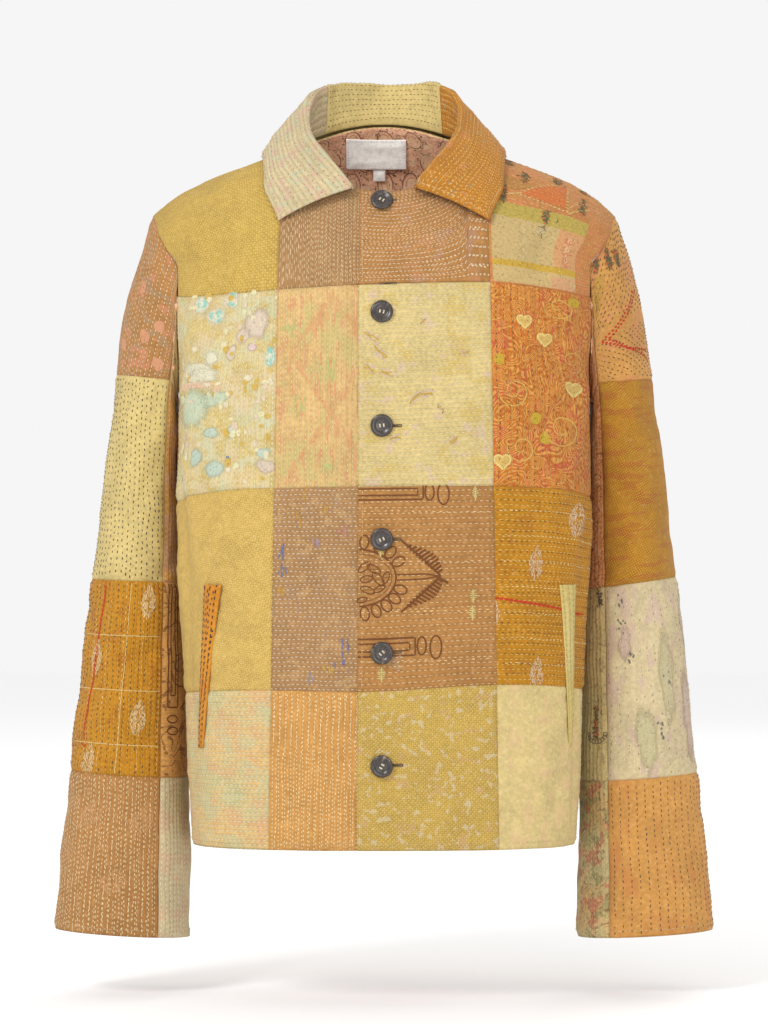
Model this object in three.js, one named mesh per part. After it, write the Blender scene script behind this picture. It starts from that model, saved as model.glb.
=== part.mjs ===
// A patched boro jacket, filled out with no wearer: hand-quilted patches pieced into two fronts, a back,
// two hanging sleeves and a turned-down collar, with welt pockets and six horn buttons.
// Millimetres. +Z is up, the fronts face -Y, and the wearer's left is +X.
// The origin is the middle of the neck, level with the neck ends of the shoulder seams.
import * as THREE from 'three';

// ---- Driving dimensions ----
const CLOTH = 2.0; // quilted cloth: a patch, its batting and its backing, stitched through
const SEAM_GAP = 0.3; // clear space between two pieces at a seam
const UNDERARM_Z = -225;
const HEM_Z = -653;
const SIDE_Y = -10; // the side seams hang just in front of the shoulder seams
const SHOULDER_Y = 12;
const CHEST_ARC = 235; // the chest and back roll over to the shoulder on about this radius
const SHOULDER_LEVEL = CHEST_ARC * Math.PI / 2;
const SQUARENESS = 2.5; // superellipse power of the body's cross-section: boxy, not round
const NECK_HALF = 75;
const NECK_SIDE_Z = 11;
const NECK_FRONT_DROP = 52;
const NECK_BACK_RISE = 20;
const COLUMN_TOP_X = 94; // seam between the centre and side patches, at the shoulder
const COLUMN_FLARE = 13; // it leans outward by this much down to the hem
const LAP_EDGE = -0.117; // the wearer's left front laps over to here, as a share across the front
const UNDERLAP_END = 0.11;
const LAP_CLEARANCE = 0.6;
const COLLAR_END = 158; // degrees round the neck from centre back to the collar's front ends
const COLLAR_SEAM = 48;
const ROLL_RADIUS = 3.5;
const BUTTON_RADIUS = 10.5;
const BUTTON_THICKNESS = 3.2;
const BUTTON_X = -2;
const TOP_BUTTON_Z = -51;
const BUTTON_PITCH = 104.7;
const BUTTON_COUNT = 6;

const rad = THREE.MathUtils.degToRad;
const lerp = THREE.MathUtils.lerp;
const smoothstep = THREE.MathUtils.smoothstep;

// A smooth curve through [at, value] knots that never swings past them.
function curve(...knots) {
  const rises = knots.slice(1).map((k, i) => (k[1] - knots[i][1]) / (k[0] - knots[i][0]));
  const slopes = knots.map((k, i) => {
    const before = rises[Math.max(i - 1, 0)];
    const after = rises[Math.min(i, rises.length - 1)];
    return before * after <= 0 ? 0 : 2 * before * after / (before + after);
  });
  return (at) => {
    const last = knots.length - 1;
    if (at <= knots[0][0]) return knots[0][1];
    if (at >= knots[last][0]) return knots[last][1];
    const i = knots.findIndex((k) => k[0] > at) - 1;
    const span = knots[i + 1][0] - knots[i][0];
    const t = (at - knots[i][0]) / span;
    const rise = knots[i + 1][1] - knots[i][1];
    const bend = (slopes[i] * (1 - t) - slopes[i + 1] * t) * span + rise * (2 * t - 1);
    return knots[i][1] + rise * t + bend * t * (1 - t);
  };
}

// ---- The body's outline ----
const sideX = curve([-661, 181], [-585, 184.5], [-480, 189.5], [-330, 195.5], [-225, 194.5]);
const front = {
  out: -1,
  depth: curve([-661, -112], [-500, -120], [-330, -128], [-225, -128]),
  top: curve([-75, 11], [0, 24], [75, 11], [107, -2], [185, -33], [205, -46], [222, -61]),
  neckZ: (x) => NECK_SIDE_Z - NECK_FRONT_DROP * Math.sqrt(1 - (x / NECK_HALF) ** 2),
};
const back = {
  out: 1,
  depth: curve([-661, 106], [-450, 99], [-330, 106], [-225, 114]),
  top: curve([-40, 40], [0, 56], [40, 40], [75, 11], [107, -2], [185, -33], [205, -46], [222, -61]),
  neckZ: (x) => NECK_SIDE_Z + NECK_BACK_RISE * (1 - (x / NECK_HALF) ** 2),
};
// The armhole edge, by degrees up the roll of the chest: its distance out, and its angle round the body.
const armholeX = curve([0, 194.5], [37, 194.5], [48, 206], [60, 214], [90, 221.5]);
const armholeTurn = curve([0, 90], [13, 80], [26, 74], [37, 71], [60, 71], [90, 80]);

// Soft folds: long shallow troughs across the body, as [share across, level, share wide, level tall, depth].
const FRONT_FOLDS = [[0.86, -330, 0.035, 120, 3.0], [-0.86, -250, 0.035, 130, 3.0], [0.7, 130, 0.05, 60, 2.5],
  [-0.72, 140, 0.05, 60, 3.0]];
const BACK_FOLDS = [[0.62, -210, 0.06, 190, 4.0], [-0.62, -230, 0.06, 180, 4.0], [0.0, -120, 0.09, 170, 3.0]];

function foldDepth(folds, share, level) {
  return folds.reduce((sum, [s, l, wide, tall, depth]) => (
    sum + depth * Math.exp(-(((share - s) / wide) ** 2) - ((level - l) / tall) ** 2)), 0);
}

// A point on the body's outer face. share runs from -1 at the wearer's right side to 1 at the left;
// level is millimetres up from the underarm, following the roll of the chest over to the shoulder.
function bodyPoint(face, share, level) {
  const rise = Math.max(level, 0) / CHEST_ARC;
  const riseDegrees = THREE.MathUtils.radToDeg(rise);
  const z = UNDERARM_Z + Math.min(level, 0);
  const turn = rad(armholeTurn(riseDegrees));
  const reach = level > 0 ? armholeX(riseDegrees) / Math.sin(turn) ** (2 / SQUARENESS) : sideX(z);
  const column = columnX(level);
  const columnTurn = Math.asin((column / reach) ** (SQUARENESS / 2));
  const across = Math.abs(share);
  const angle = across > 0.5
    ? lerp(columnTurn, turn, 2 * across - 1)
    : Math.asin((2 * across * column / reach) ** (SQUARENESS / 2));
  const x = reach * Math.sin(angle) ** (2 / SQUARENESS);
  const depth = face.depth(z);
  const ringY = SIDE_Y + (depth - SIDE_Y) * Math.max(Math.cos(angle), 0) ** (2 / SQUARENESS);
  const y = level > 0 ? SHOULDER_Y + (ringY - SHOULDER_Y) * Math.cos(rise) : ringY;
  const pinch = foldDepth(face === front ? FRONT_FOLDS : BACK_FOLDS, share, level);
  const toward = new THREE.Vector2(x / reach ** 2, (ringY - SIDE_Y) / (depth - SIDE_Y) ** 2).normalize();
  const height = level > 0 ? UNDERARM_Z + (face.top(x) - UNDERARM_Z) * Math.sin(rise) : z;
  return new THREE.Vector3(Math.sign(share) * (x - pinch * toward.x), y - pinch * toward.y, height);
}

function columnX(level) {
  const fall = (SHOULDER_LEVEL - level) / (SHOULDER_LEVEL + UNDERARM_Z - HEM_Z);
  return COLUMN_TOP_X + COLUMN_FLARE * fall;
}

// The level at which a height falls on the face, a distance x from its middle.
function levelAt(face, x, z) {
  if (z < UNDERARM_Z) return z - UNDERARM_Z;
  const climb = (z - UNDERARM_Z) / (face.top(x) - UNDERARM_Z);
  return CHEST_ARC * Math.asin(Math.min(climb, 1));
}

// ---- Cloth walls ----
const jacket = new THREE.Group();

function addMesh(name, geometry, colour, roughness) {
  const material = new THREE.MeshStandardMaterial({ color: colour, roughness, metalness: 0 });
  const mesh = new THREE.Mesh(geometry, material);
  mesh.name = name;
  jacket.add(mesh);
}

function even(count) {
  return Array.from({ length: count + 1 }, (_, i) => i / count);
}

// Splits the squares on three sides of a box along the same diagonals as on the sides opposite, so that
// a bent wall keeps one thickness and a twisted seam edge matches its neighbour's.
function matchDiagonals(geometry) {
  const index = geometry.index;
  [1, 3, 5].forEach((side) => {
    const { start, count } = geometry.groups[side];
    for (let i = start; i < start + count; i += 6) {
      const [a, b, d, c] = [index.getX(i), index.getX(i + 1), index.getX(i + 2), index.getX(i + 4)];
      [a, b, c, a, c, d].forEach((corner, k) => index.setX(i + k, corner));
    }
  });
}

// A wall of cloth on surface(u, v), whose outward side is du x dv. us and vs are its rows of points,
// lift moves its outer face along the outward direction, and inset keeps the seam gap at its edges.
function clothGeometry(surface, us, vs, { lift = () => 0, thickness = CLOTH, gap = SEAM_GAP } = {}) {
  const edge = 0.02;
  const edgeLength = (a, b) => surface(...a).distanceTo(surface(...b)) / edge;
  const insetFor = (pairs) => (gap / 2) / Math.min(...pairs.map(([a, b]) => edgeLength(a, b)));
  const insets = {
    u0: insetFor(vs.map((v) => [[0, v], [edge, v]])),
    u1: insetFor(vs.map((v) => [[1, v], [1 - edge, v]])),
    v0: insetFor(us.map((u) => [[u, 0], [u, edge]])),
    v1: insetFor(us.map((u) => [[u, 1], [u, 1 - edge]])),
  };
  const geometry = new THREE.BoxGeometry(1, 1, 1, us.length - 1, vs.length - 1, 1);
  matchDiagonals(geometry);
  const points = geometry.attributes.position;
  const step = 0.004;
  for (let i = 0; i < points.count; i += 1) {
    const u = us[Math.round((points.getX(i) + 0.5) * (us.length - 1))];
    const v = vs[Math.round((points.getY(i) + 0.5) * (vs.length - 1))];
    const uIn = lerp(insets.u0, 1 - insets.u1, u);
    const vIn = lerp(insets.v0, 1 - insets.v1, v);
    const du = surface(uIn + step, vIn).sub(surface(uIn - step, vIn));
    const dv = surface(uIn, vIn + step).sub(surface(uIn, vIn - step));
    const normal = du.cross(dv).normalize();
    const outer = points.getZ(i) > 0;
    const point = surface(uIn, vIn).addScaledVector(normal, lift(uIn) - (outer ? 0 : thickness));
    points.setXYZ(i, point.x, point.y, point.z);
  }
  return geometry;
}

function addCloth(name, colour, surface, us, vs, options) {
  addMesh(name, clothGeometry(surface, us, vs, options), colour, 0.9);
}

// ---- Fronts and back: four rows of patches, pieced edge to edge ----
// Row seams, from the chest down to the hem, as heights by share across.
const FRONT_SEAMS = [
  curve([-1, -137.7], [-0.5, -134], [-0.117, -130], [0.5, -127], [1, -137.7]),
  curve([-1, -331], [-0.5, -318], [0.5, -316], [1, -326]),
  curve([-1, -511], [-0.5, -505], [-0.117, -506], [0.5, -500], [1, -508]),
  () => HEM_Z,
];
const BACK_SEAMS = [
  curve([-1, -137.7], [0, -128], [1, -137.7]),
  curve([-1, -331], [0, -322], [1, -326]),
  curve([-1, -511], [0, -503], [1, -508]),
  () => HEM_Z,
];
// Degrees up the chest where the first row seam meets the armhole, and at the points above it. Fronts,
// back and sleeves share these points, so that pieces on both sides of a seam follow one line.
const ARMHOLE_SEAM_DEGREES = 28;
const ARMHOLE_STEPS = [37, 48, 60, 75, 90];
const YOKE_ROWS = [ARMHOLE_SEAM_DEGREES, ...ARMHOLE_STEPS].map(
  (d) => (d - ARMHOLE_SEAM_DEGREES) / (90 - ARMHOLE_SEAM_DEGREES));

function stationX(share) {
  const across = Math.abs(share);
  return across > 0.5 ? lerp(98, 194.5, 2 * across - 1) : 2 * across * 98;
}

function topLevel(face, share) {
  const x = 2 * Math.abs(share) * COLUMN_TOP_X;
  return x < NECK_HALF ? levelAt(face, x, face.neckZ(x)) : SHOULDER_LEVEL;
}

function rowLevel(face, seams, row, share) {
  return row === 0 ? topLevel(face, share) : levelAt(face, stationX(share), seams[row - 1](share));
}

function bodySurface(face, seams, row, from, to) {
  return (u, v) => {
    const share = face === front ? lerp(from, to, u) : lerp(to, from, u);
    const level = lerp(rowLevel(face, seams, row + 1, share), rowLevel(face, seams, row, share), v);
    return bodyPoint(face, share, level);
  };
}

const sides = [
  { name: 'right', sign: -1 },
  { name: 'left', sign: 1 },
];
const SIDE_COLOURS = {
  right: [0xd6b454, 0xe4cd8c, 0xdeb95f, 0xdcc79a],
  left: [0xd09a5c, 0xd28a44, 0xc89128, 0xe4d09b],
};
const CENTRE_COLOURS = {
  right: [0xb2875c, 0xe6b973, 0xb99173, 0xdca55f],
  left: [0xbe8755, 0xe4cd82, 0xc89155, 0xd4b455],
};
for (let row = 0; row < 4; row += 1) {
  const up = row === 0 ? YOKE_ROWS : even(4);
  for (const { name, sign } of sides) {
    const surface = sign < 0
      ? bodySurface(front, FRONT_SEAMS, row, -1, -0.5)
      : bodySurface(front, FRONT_SEAMS, row, 0.5, 1);
    const across = sign < 0 ? [0, 0.12, 0.28, 0.5, 0.74, 1] : [0, 0.26, 0.5, 0.72, 0.88, 1];
    addCloth(`front_${name}_side_${row + 1}`, SIDE_COLOURS[name][row], surface, across, up);
  }
  const underlapStep = CLOTH + LAP_CLEARANCE;
  const under = bodySurface(front, FRONT_SEAMS, row, -0.5, UNDERLAP_END);
  const underShares = row === 0
    ? [-0.5, -0.4, -0.39, -0.36, -0.3, -0.2, -0.13, 0, UNDERLAP_END]
    : [-0.5, -0.36, -0.2, -0.13, UNDERLAP_END];
  const underAcross = underShares.map((s) => (s + 0.5) / (UNDERLAP_END + 0.5));
  addCloth(`front_right_centre_${row + 1}`, CENTRE_COLOURS.right[row], under, underAcross, up, {
    lift: (u) => -underlapStep * smoothstep(lerp(-0.5, UNDERLAP_END, u), -0.2, -0.13),
  });
  const over = bodySurface(front, FRONT_SEAMS, row, LAP_EDGE, 0.5);
  const overShares = row === 0
    ? [LAP_EDGE, 0.05, 0.2, 0.3, 0.36, 0.39, 0.4, 0.5]
    : [LAP_EDGE, 0.04, 0.2, 0.36, 0.5];
  const overAcross = overShares.map((s) => (s - LAP_EDGE) / (0.5 - LAP_EDGE));
  addCloth(`front_left_centre_${row + 1}`, CENTRE_COLOURS.left[row], over, overAcross, up);
}

const BACK_COLUMN = 0.4; // the back's seams run down from the neck ends of the shoulder seams
const BACK_COLOURS = {
  right: [0xcfa04e, 0xbf8a58, 0xe2c987, 0xd0a35a],
  centre: [0xe0c27a, 0xc98f3a, 0xb98a66, 0xdfb777],
  left: [0xb88a5c, 0xdfc384, 0xd2984f, 0xc9ad62],
};
for (let row = 0; row < 4; row += 1) {
  const up = row === 0 ? YOKE_ROWS : even(4);
  for (const { name, sign } of sides) {
    const surface = sign < 0
      ? bodySurface(back, BACK_SEAMS, row, -1, -BACK_COLUMN)
      : bodySurface(back, BACK_SEAMS, row, BACK_COLUMN, 1);
    const fromSide = [0, 0.1, 0.24, 0.42, 0.68, 1];
    const across = sign > 0 ? fromSide : fromSide.map((s) => 1 - s).reverse();
    addCloth(`back_${name}_${row + 1}`, BACK_COLOURS[name][row], surface, across, up);
  }
  const surface = bodySurface(back, BACK_SEAMS, row, -BACK_COLUMN, BACK_COLUMN);
  addCloth(`back_centre_${row + 1}`, BACK_COLOURS.centre[row], surface, even(6), up);
}

// ---- Sleeves: drop-shoulder tubes that hang against the sides and widen at the cuff ----
const sleeveOuterX = curve([-745, 316.5], [-587, 301], [-398, 280.5], [-273, 265], [-209, 257], [-140, 246],
  [-106, 236], [-60, 221.5]);
const sleeveInnerX = curve([-745, 185], [-587, 186.5], [-398, 188], [-300, 190], [-225, 196], [-60, 200]);
const sleeveY = curve([-745, 36], [-587, 42], [-398, 48], [-225, 36], [-60, 14]);
const sleeveHalfDepth = curve([-745, 46], [-587, 53], [-398, 61], [-225, 60], [-60, 40]);
const SLEEVE_TO_BODY = 1.5;
const SLEEVE_PRESS = 3; // how softly the sleeve flattens where it lies against the body
const SLEEVE_START = 1.0; // the cap starts this far outside the armhole edge
const UNDERARM_STEP = 2.6; // and hangs outside the side seam under the arm
const CAP_END_Z = -325; // by here the cap's shape has died into the tube
// Folds that fan out from the armpit and cross the elbow: [turn, height, turn wide, tall, slant, depth].
const SLEEVE_FOLDS = [[88, -205, 26, 16, 0.9, 3.5], [80, -268, 30, 16, 0.7, 3.0], [70, -430, 34, 18, -0.5, 2.5],
  [-60, -400, 36, 22, 0.4, 3.0], [-80, -240, 30, 18, -0.7, 3.5], [95, -560, 30, 20, 0.4, 2.0]];

// Distance out to the body's side at a height and a depth from front to back.
function bodySideX(y, z) {
  const depth = (y < SIDE_Y ? front : back).depth(z);
  const inward = Math.abs((y - SIDE_Y) / (depth - SIDE_Y));
  return inward < 1 ? sideX(z) * (1 - inward ** SQUARENESS) ** (1 / SQUARENESS) : 0;
}

// A point on the left sleeve's outer face: turn 0 is outward, 90 forward, 180 against the body.
function leftSleevePoint(turn, fall, rows) {
  const wrapped = Math.abs(((turn + 180) % 360 + 360) % 360 - 180);
  const forward = Math.sin(rad(turn)) >= 0;
  const armholeLevel = SHOULDER_LEVEL * (1 - wrapped / 180);
  const start = bodyPoint(forward ? front : back, 1, armholeLevel);
  start.x += SLEEVE_START + UNDERARM_STEP * smoothstep(wrapped, 118, 165);
  const z = lerp(start.z, rows(turn), fall);
  const ringX = (height) => lerp(sleeveOuterX(height), sleeveInnerX(height), (1 - Math.cos(rad(turn))) / 2);
  const ringY = (height) => sleeveY(height) - sleeveHalfDepth(height) * Math.sin(rad(turn));
  const fade = smoothstep(z, CAP_END_Z, start.z);
  const pinch = SLEEVE_FOLDS.reduce((sum, [t, h, wide, tall, slant, depth]) => {
    const across = (((turn - t) % 360 + 540) % 360 - 180) / wide;
    const up = (z - h - slant * across * wide) / tall;
    return sum + depth * Math.exp(-(across ** 2) - up ** 2);
  }, 0) * (1 - fade);
  const x = ringX(z) + (start.x - ringX(start.z)) * fade - pinch * Math.cos(rad(turn));
  const y = ringY(z) + (start.y - ringY(start.z)) * fade + pinch * Math.sin(rad(turn));
  const inside = bodySideX(y, z) + SLEEVE_TO_BODY - x;
  const pushed = (inside + Math.hypot(inside, SLEEVE_PRESS)) / 2;
  return new THREE.Vector3(x + pushed * smoothstep(wrapped, 80, 125), y, z);
}

// Row seams down each sleeve: [height at the outside, height against the body].
const SLEEVE_SEAMS = {
  right: [[-209, -218], [-404, -407], [-587, -594], [-738, -746]],
  left: [[-213, -220], [-402, -414], [-589, -597], [-739, -746]],
};
const CAP_GAP = 0.9; // the cap's edges turn sharply under the arm, so its seams stand a little wider
const UNDERARM_DIP = 16; // the first seam dips under the arm, so that its patch keeps some height
const SLEEVE_COLOURS = {
  right: { outer: [0xb98a60, 0xdcc07c, 0xc98e25, 0xb98440], under: [0xd8b27a, 0xc98a55, 0xb87340, 0xd9cf9c] },
  left: { outer: [0xd9a566, 0xc98b2e, 0xddcba0, 0xdda35c], under: [0xd79a5a, 0xa8744e, 0xd9a46a, 0xcf9a72] },
};

function sleeveSeam(side, row) {
  const [outside, inside] = SLEEVE_SEAMS[side][row];
  return (turn) => {
    const wrapped = Math.abs(((turn + 180) % 360 + 360) % 360 - 180);
    const dip = row === 0 ? UNDERARM_DIP * smoothstep(wrapped, 118, 180) : 0;
    return lerp(outside, inside, (1 - Math.cos(rad(turn))) / 2) - dip;
  };
}

// The same piece on the other side of the body.
function mirrored(geometry) {
  geometry.scale(-1, 1, 1);
  const index = geometry.index;
  for (let i = 0; i < index.count; i += 3) {
    const [second, third] = [index.getX(i + 1), index.getX(i + 2)];
    index.setX(i + 1, third);
    index.setX(i + 2, second);
  }
  return geometry;
}

const frontSeamTurn = 180 * (1 - ARMHOLE_SEAM_DEGREES / 90);
const capTurns = ARMHOLE_STEPS.map((d) => 180 * (1 - d / 90)).reverse();
const sleeveColumns = {
  outer: [...capTurns.slice(1).map((t) => -t).reverse(), ...capTurns, frontSeamTurn],
  under: [frontSeamTurn, 154, 180, 206, 360 - frontSeamTurn, 360 - capTurns[capTurns.length - 1]],
};
for (const { name, sign } of sides) {
  for (const [column, turns] of Object.entries(sleeveColumns)) {
    const [first, last] = [turns[0], turns[turns.length - 1]];
    const across = turns.map((t) => (t - first) / (last - first));
    for (let row = 0; row < SLEEVE_SEAMS[name].length; row += 1) {
      const below = sleeveSeam(name, row);
      const above = row === 0 ? null : sleeveSeam(name, row - 1);
      const surface = (u, v) => {
        const turn = lerp(first, last, u);
        return above === null
          ? leftSleevePoint(turn, v, below)
          : leftSleevePoint(turn, 1, (t) => lerp(above(t), below(t), v));
      };
      const geometry = clothGeometry(surface, across, even(row === 0 ? 4 : 3), {
        gap: row === 0 ? CAP_GAP : SEAM_GAP,
      });
      const piece = sign > 0 ? geometry : mirrored(geometry);
      addMesh(`sleeve_${name}_${column}_${row + 1}`, piece, SLEEVE_COLOURS[name][column][row], 0.9);
    }
  }
}

// ---- Collar: one turned-down strip in three patches, rolled over its stand ----
// Degrees round the neck run from 0 at centre back. The roll line, then the edge that lies on the body.
const rollX = curve([0, 0], [30, 38], [50, 54], [70, 65], [90, 70], [110, 68], [130, 57], [145, 43], [158, 28]);
const rollY = curve([0, 70], [30, 57], [50, 42], [70, 25], [90, 6], [110, -22], [130, -50], [145, -71], [158, -86]);
const rollZ = curve([0, 74], [30, 74], [50, 70], [70, 61], [90, 46], [110, 25], [130, 3], [145, -15], [158, -35]);
const edgeX = curve([0, 0], [15, 30], [30, 57], [45, 79], [60, 95], [75, 104], [90, 107], [120, 107], [158, 98]);
const edgeDegrees = curve([0, 128], [30, 126], [45, 121], [60, 112], [75, 101], [90, 88], [105, 68], [120, 59],
  [140, 50], [158, 42]);
const COLLAR_LIFT = 7;
const STAND_SHARE = 0.3;
const ROLL_SHARE = 0.4;
const LEAF_BELLY = 9;

// Where an x and an angle over the shoulder, 0 to 90 in front and on to 180 behind, meet the body.
function overShoulder(x, degrees) {
  const face = degrees <= 90 ? front : back;
  const level = CHEST_ARC * rad(degrees <= 90 ? degrees : 180 - degrees);
  const column = columnX(level);
  const share = Math.abs(x) <= column ? x / (2 * column) : Math.sign(x) * (0.5 + (Math.abs(x) - column) / 230);
  return bodyPoint(face, share, level);
}

function collarPoint(degrees, part) {
  const around = Math.abs(degrees);
  const sign = Math.sign(degrees);
  const outward = new THREE.Vector3(Math.sin(rad(around)), Math.cos(rad(around)), 0);
  const up = new THREE.Vector3(0, 0, 1);
  const neckX = NECK_HALF * Math.sin(rad(around));
  const face = around > 90 ? front : back;
  const neckLevel = levelAt(face, neckX, face.neckZ(neckX));
  const neck = bodyPoint(face, neckX / (2 * columnX(neckLevel)), neckLevel);
  neck.addScaledVector(up, 2.6).addScaledVector(outward, -0.4);
  const inside = new THREE.Vector3(rollX(around), rollY(around), rollZ(around) - ROLL_RADIUS);
  let point;
  if (part < STAND_SHARE) {
    point = neck.lerp(inside, part / STAND_SHARE);
  } else if (part < ROLL_SHARE) {
    const roll = Math.PI * (part - STAND_SHARE) / (ROLL_SHARE - STAND_SHARE);
    point = inside.addScaledVector(outward, ROLL_RADIUS * (1 - Math.cos(roll)));
    point.addScaledVector(up, ROLL_RADIUS * Math.sin(roll));
  } else {
    const t = (part - ROLL_SHARE) / (1 - ROLL_SHARE);
    const start = inside.addScaledVector(outward, 2 * ROLL_RADIUS);
    const edge = overShoulder(edgeX(around), edgeDegrees(around));
    const lift = new THREE.Vector3(0, 0.75 * (around > 90 ? -1 : 1) * Math.abs(Math.cos(rad(around))), 0.66);
    edge.addScaledVector(lift, COLLAR_LIFT);
    const belly = start.clone().lerp(edge, 0.5).addScaledVector(outward, LEAF_BELLY * 0.7);
    belly.addScaledVector(up, LEAF_BELLY * 0.5);
    point = new THREE.QuadraticBezierCurve3(start, belly, edge).getPoint(t);
  }
  point.x *= sign;
  return point;
}

const collarRows = [0, 0.15, 0.3, 0.333, 0.367, 0.4, 0.55, 0.7, 0.85, 1];
const collarPatches = [
  { name: 'collar_right', from: -COLLAR_END, to: -COLLAR_SEAM, steps: 8, colour: 0xdec89b },
  { name: 'collar_back', from: -COLLAR_SEAM, to: COLLAR_SEAM, steps: 8, colour: 0xcdb95f },
  { name: 'collar_left', from: COLLAR_SEAM, to: COLLAR_END, steps: 8, colour: 0xcd872d },
];
for (const { name, from, to, steps, colour } of collarPatches) {
  addCloth(name, colour, (u, v) => collarPoint(lerp(from, to, u) || 1e-6, v), even(steps), collarRows);
}

// ---- Pocket welts: narrow slanted strips on the side patches ----
const WELT_TOP_LEVEL = -183;
const WELT_BOTTOM_LEVEL = -335;
const WELTS = {
  right: { top: [-0.73, -0.66], bottom: [-0.81, -0.773], colour: 0xd9922f },
  left: { top: [0.716, 0.808], bottom: [0.81, 0.845], colour: 0xe6d489 },
};
for (const { name } of sides) {
  const { top, bottom, colour } = WELTS[name];
  const surface = (u, v) => {
    const share = lerp(lerp(bottom[0], bottom[1], u), lerp(top[0], top[1], u), v);
    return bodyPoint(front, share, lerp(WELT_BOTTOM_LEVEL, WELT_TOP_LEVEL, v));
  };
  addCloth(`pocket_welt_${name}`, colour, surface, even(2), even(8), { lift: () => CLOTH + 0.5 });
}

// ---- Lining inside the back of the neck, with a blank woven label and a small tab ----
const LINING_THICKNESS = 0.8;
const LABEL_THICKNESS = 0.5;
const liningLift = -(CLOTH + 0.5);
const labelLift = liningLift - LINING_THICKNESS - 2.4;

function backInside(x0, x1, z0, z1) {
  return (u, v) => {
    const x = lerp(x1, x0, u);
    const level = levelAt(back, Math.abs(x), lerp(z0, z1, v));
    return bodyPoint(back, x / (2 * columnX(level)), level);
  };
}

const yoke = bodySurface(back, BACK_SEAMS, 0, -BACK_COLUMN, BACK_COLUMN);
const liningSurface = (u, v) => yoke(u, lerp(YOKE_ROWS[1], 1, v));
const liningRows = YOKE_ROWS.slice(1).map((r) => (r - YOKE_ROWS[1]) / (1 - YOKE_ROWS[1]));
addCloth('back_lining', 0xbe8c6e, liningSurface, even(6), liningRows, {
  lift: () => liningLift, thickness: LINING_THICKNESS,
});
addCloth('neck_label', 0xf2efe8, backInside(-36, 21, -9, 18), even(5), even(3), {
  lift: () => labelLift, thickness: LABEL_THICKNESS,
});
addCloth('size_tab', 0xf4f2ee, backInside(-10, 1, -20, -9.5), even(1), even(1), {
  lift: () => labelLift, thickness: LABEL_THICKNESS,
});

// ---- Buttons: turned horn discs with four sewing holes, through the left front ----
const HOLE_RADIUS = 1.1;
const HOLE_OFFSET = 2.5;
for (let i = 0; i < BUTTON_COUNT; i += 1) {
  const disc = new THREE.Shape().absarc(0, 0, BUTTON_RADIUS, 0, 2 * Math.PI);
  for (let hole = 0; hole < 4; hole += 1) {
    const at = Math.PI / 4 + hole * Math.PI / 2;
    const centre = [HOLE_OFFSET * Math.cos(at), HOLE_OFFSET * Math.sin(at)];
    disc.holes.push(new THREE.Path().absarc(...centre, HOLE_RADIUS, 0, 2 * Math.PI, true));
  }
  const geometry = new THREE.ExtrudeGeometry(disc, {
    depth: BUTTON_THICKNESS, bevelEnabled: false, curveSegments: 9,
  });
  const z = TOP_BUTTON_Z - i * BUTTON_PITCH;
  const level = levelAt(front, 0, z);
  const share = BUTTON_X / (2 * columnX(level));
  const at = bodyPoint(front, share, level);
  const across = bodyPoint(front, share + 0.02, level).sub(bodyPoint(front, share - 0.02, level));
  const upward = bodyPoint(front, share, level + 4).sub(bodyPoint(front, share, level - 4));
  const outward = across.cross(upward).normalize();
  addMesh(`button_${i + 1}`, geometry, 0x3a2f2b, 0.35);
  const button = jacket.children[jacket.children.length - 1];
  button.quaternion.setFromUnitVectors(new THREE.Vector3(0, 0, 1), outward);
  button.position.copy(at).addScaledVector(outward, 1.0);
}

export default jacket;
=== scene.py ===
import math
import bmesh
import bpy
import numpy as np
from mathutils import Matrix, Vector


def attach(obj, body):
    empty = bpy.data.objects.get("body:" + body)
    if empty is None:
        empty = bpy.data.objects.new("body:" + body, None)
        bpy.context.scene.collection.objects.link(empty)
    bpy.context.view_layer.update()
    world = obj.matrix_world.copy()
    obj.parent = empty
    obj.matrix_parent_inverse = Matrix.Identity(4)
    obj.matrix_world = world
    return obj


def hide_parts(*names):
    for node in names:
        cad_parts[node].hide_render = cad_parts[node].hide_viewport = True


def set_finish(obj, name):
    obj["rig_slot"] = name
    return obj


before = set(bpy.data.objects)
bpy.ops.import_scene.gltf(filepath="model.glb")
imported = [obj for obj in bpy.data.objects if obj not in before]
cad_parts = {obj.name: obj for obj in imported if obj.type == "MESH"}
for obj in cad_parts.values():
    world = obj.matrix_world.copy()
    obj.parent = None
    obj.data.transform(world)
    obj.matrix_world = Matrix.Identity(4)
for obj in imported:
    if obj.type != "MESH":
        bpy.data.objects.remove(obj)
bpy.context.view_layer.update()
scene = bpy.context.scene

# ---- Camera ----
# Level with the middle of the jacket and straight in front of it, through a long lens.
camera_data = bpy.data.cameras.new("camera")
camera_data.lens = 148
camera = bpy.data.objects.new("camera", camera_data)
camera.location = (0, -4, -0.34)
camera.rotation_euler = (math.radians(90), 0, 0)
scene.collection.objects.link(camera)
scene.camera = camera

# ---- Fronts: eight quilted patches, the wearer's left half lapping over the right ----
# Each patch is worn printed cotton over a thin backing, sewn through with rows of running stitch.
# The patches are pieced edge to edge, and their seam allowances pull a small valley along each seam.
# The form is worked out in millimetres and laid into the scene in metres.
MM = 0.001
CLOTH = 1.7
UNDERARM_Z = -225
HEM_Z = -653
SIDE_Y = -10
SHOULDER_Y = 12
CHEST_ARC = 235
SHOULDER_LEVEL = CHEST_ARC * math.pi / 2
SQUARENESS = 2.5
NECK_HALF = 75
NECK_SIDE_Z = 11
NECK_FRONT_DROP = 52
NECK_BACK_RISE = 20
COLUMN_TOP_X = 94
COLUMN_FLARE = 13
LAP_EDGE = -0.117
UNDERLAP_END = 0.11
SEAM_DIP = 1.0
# A patch's area is taken from this share of its width times its height up to all of it.
LEAST_SHARE, MOST_SHARE = 0.3, 1
SURFACE_STEP = 0.004
STACK_STEP = 0.002
STITCH_RISE = 0.62
SEAM_TUCK = 0.3


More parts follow.
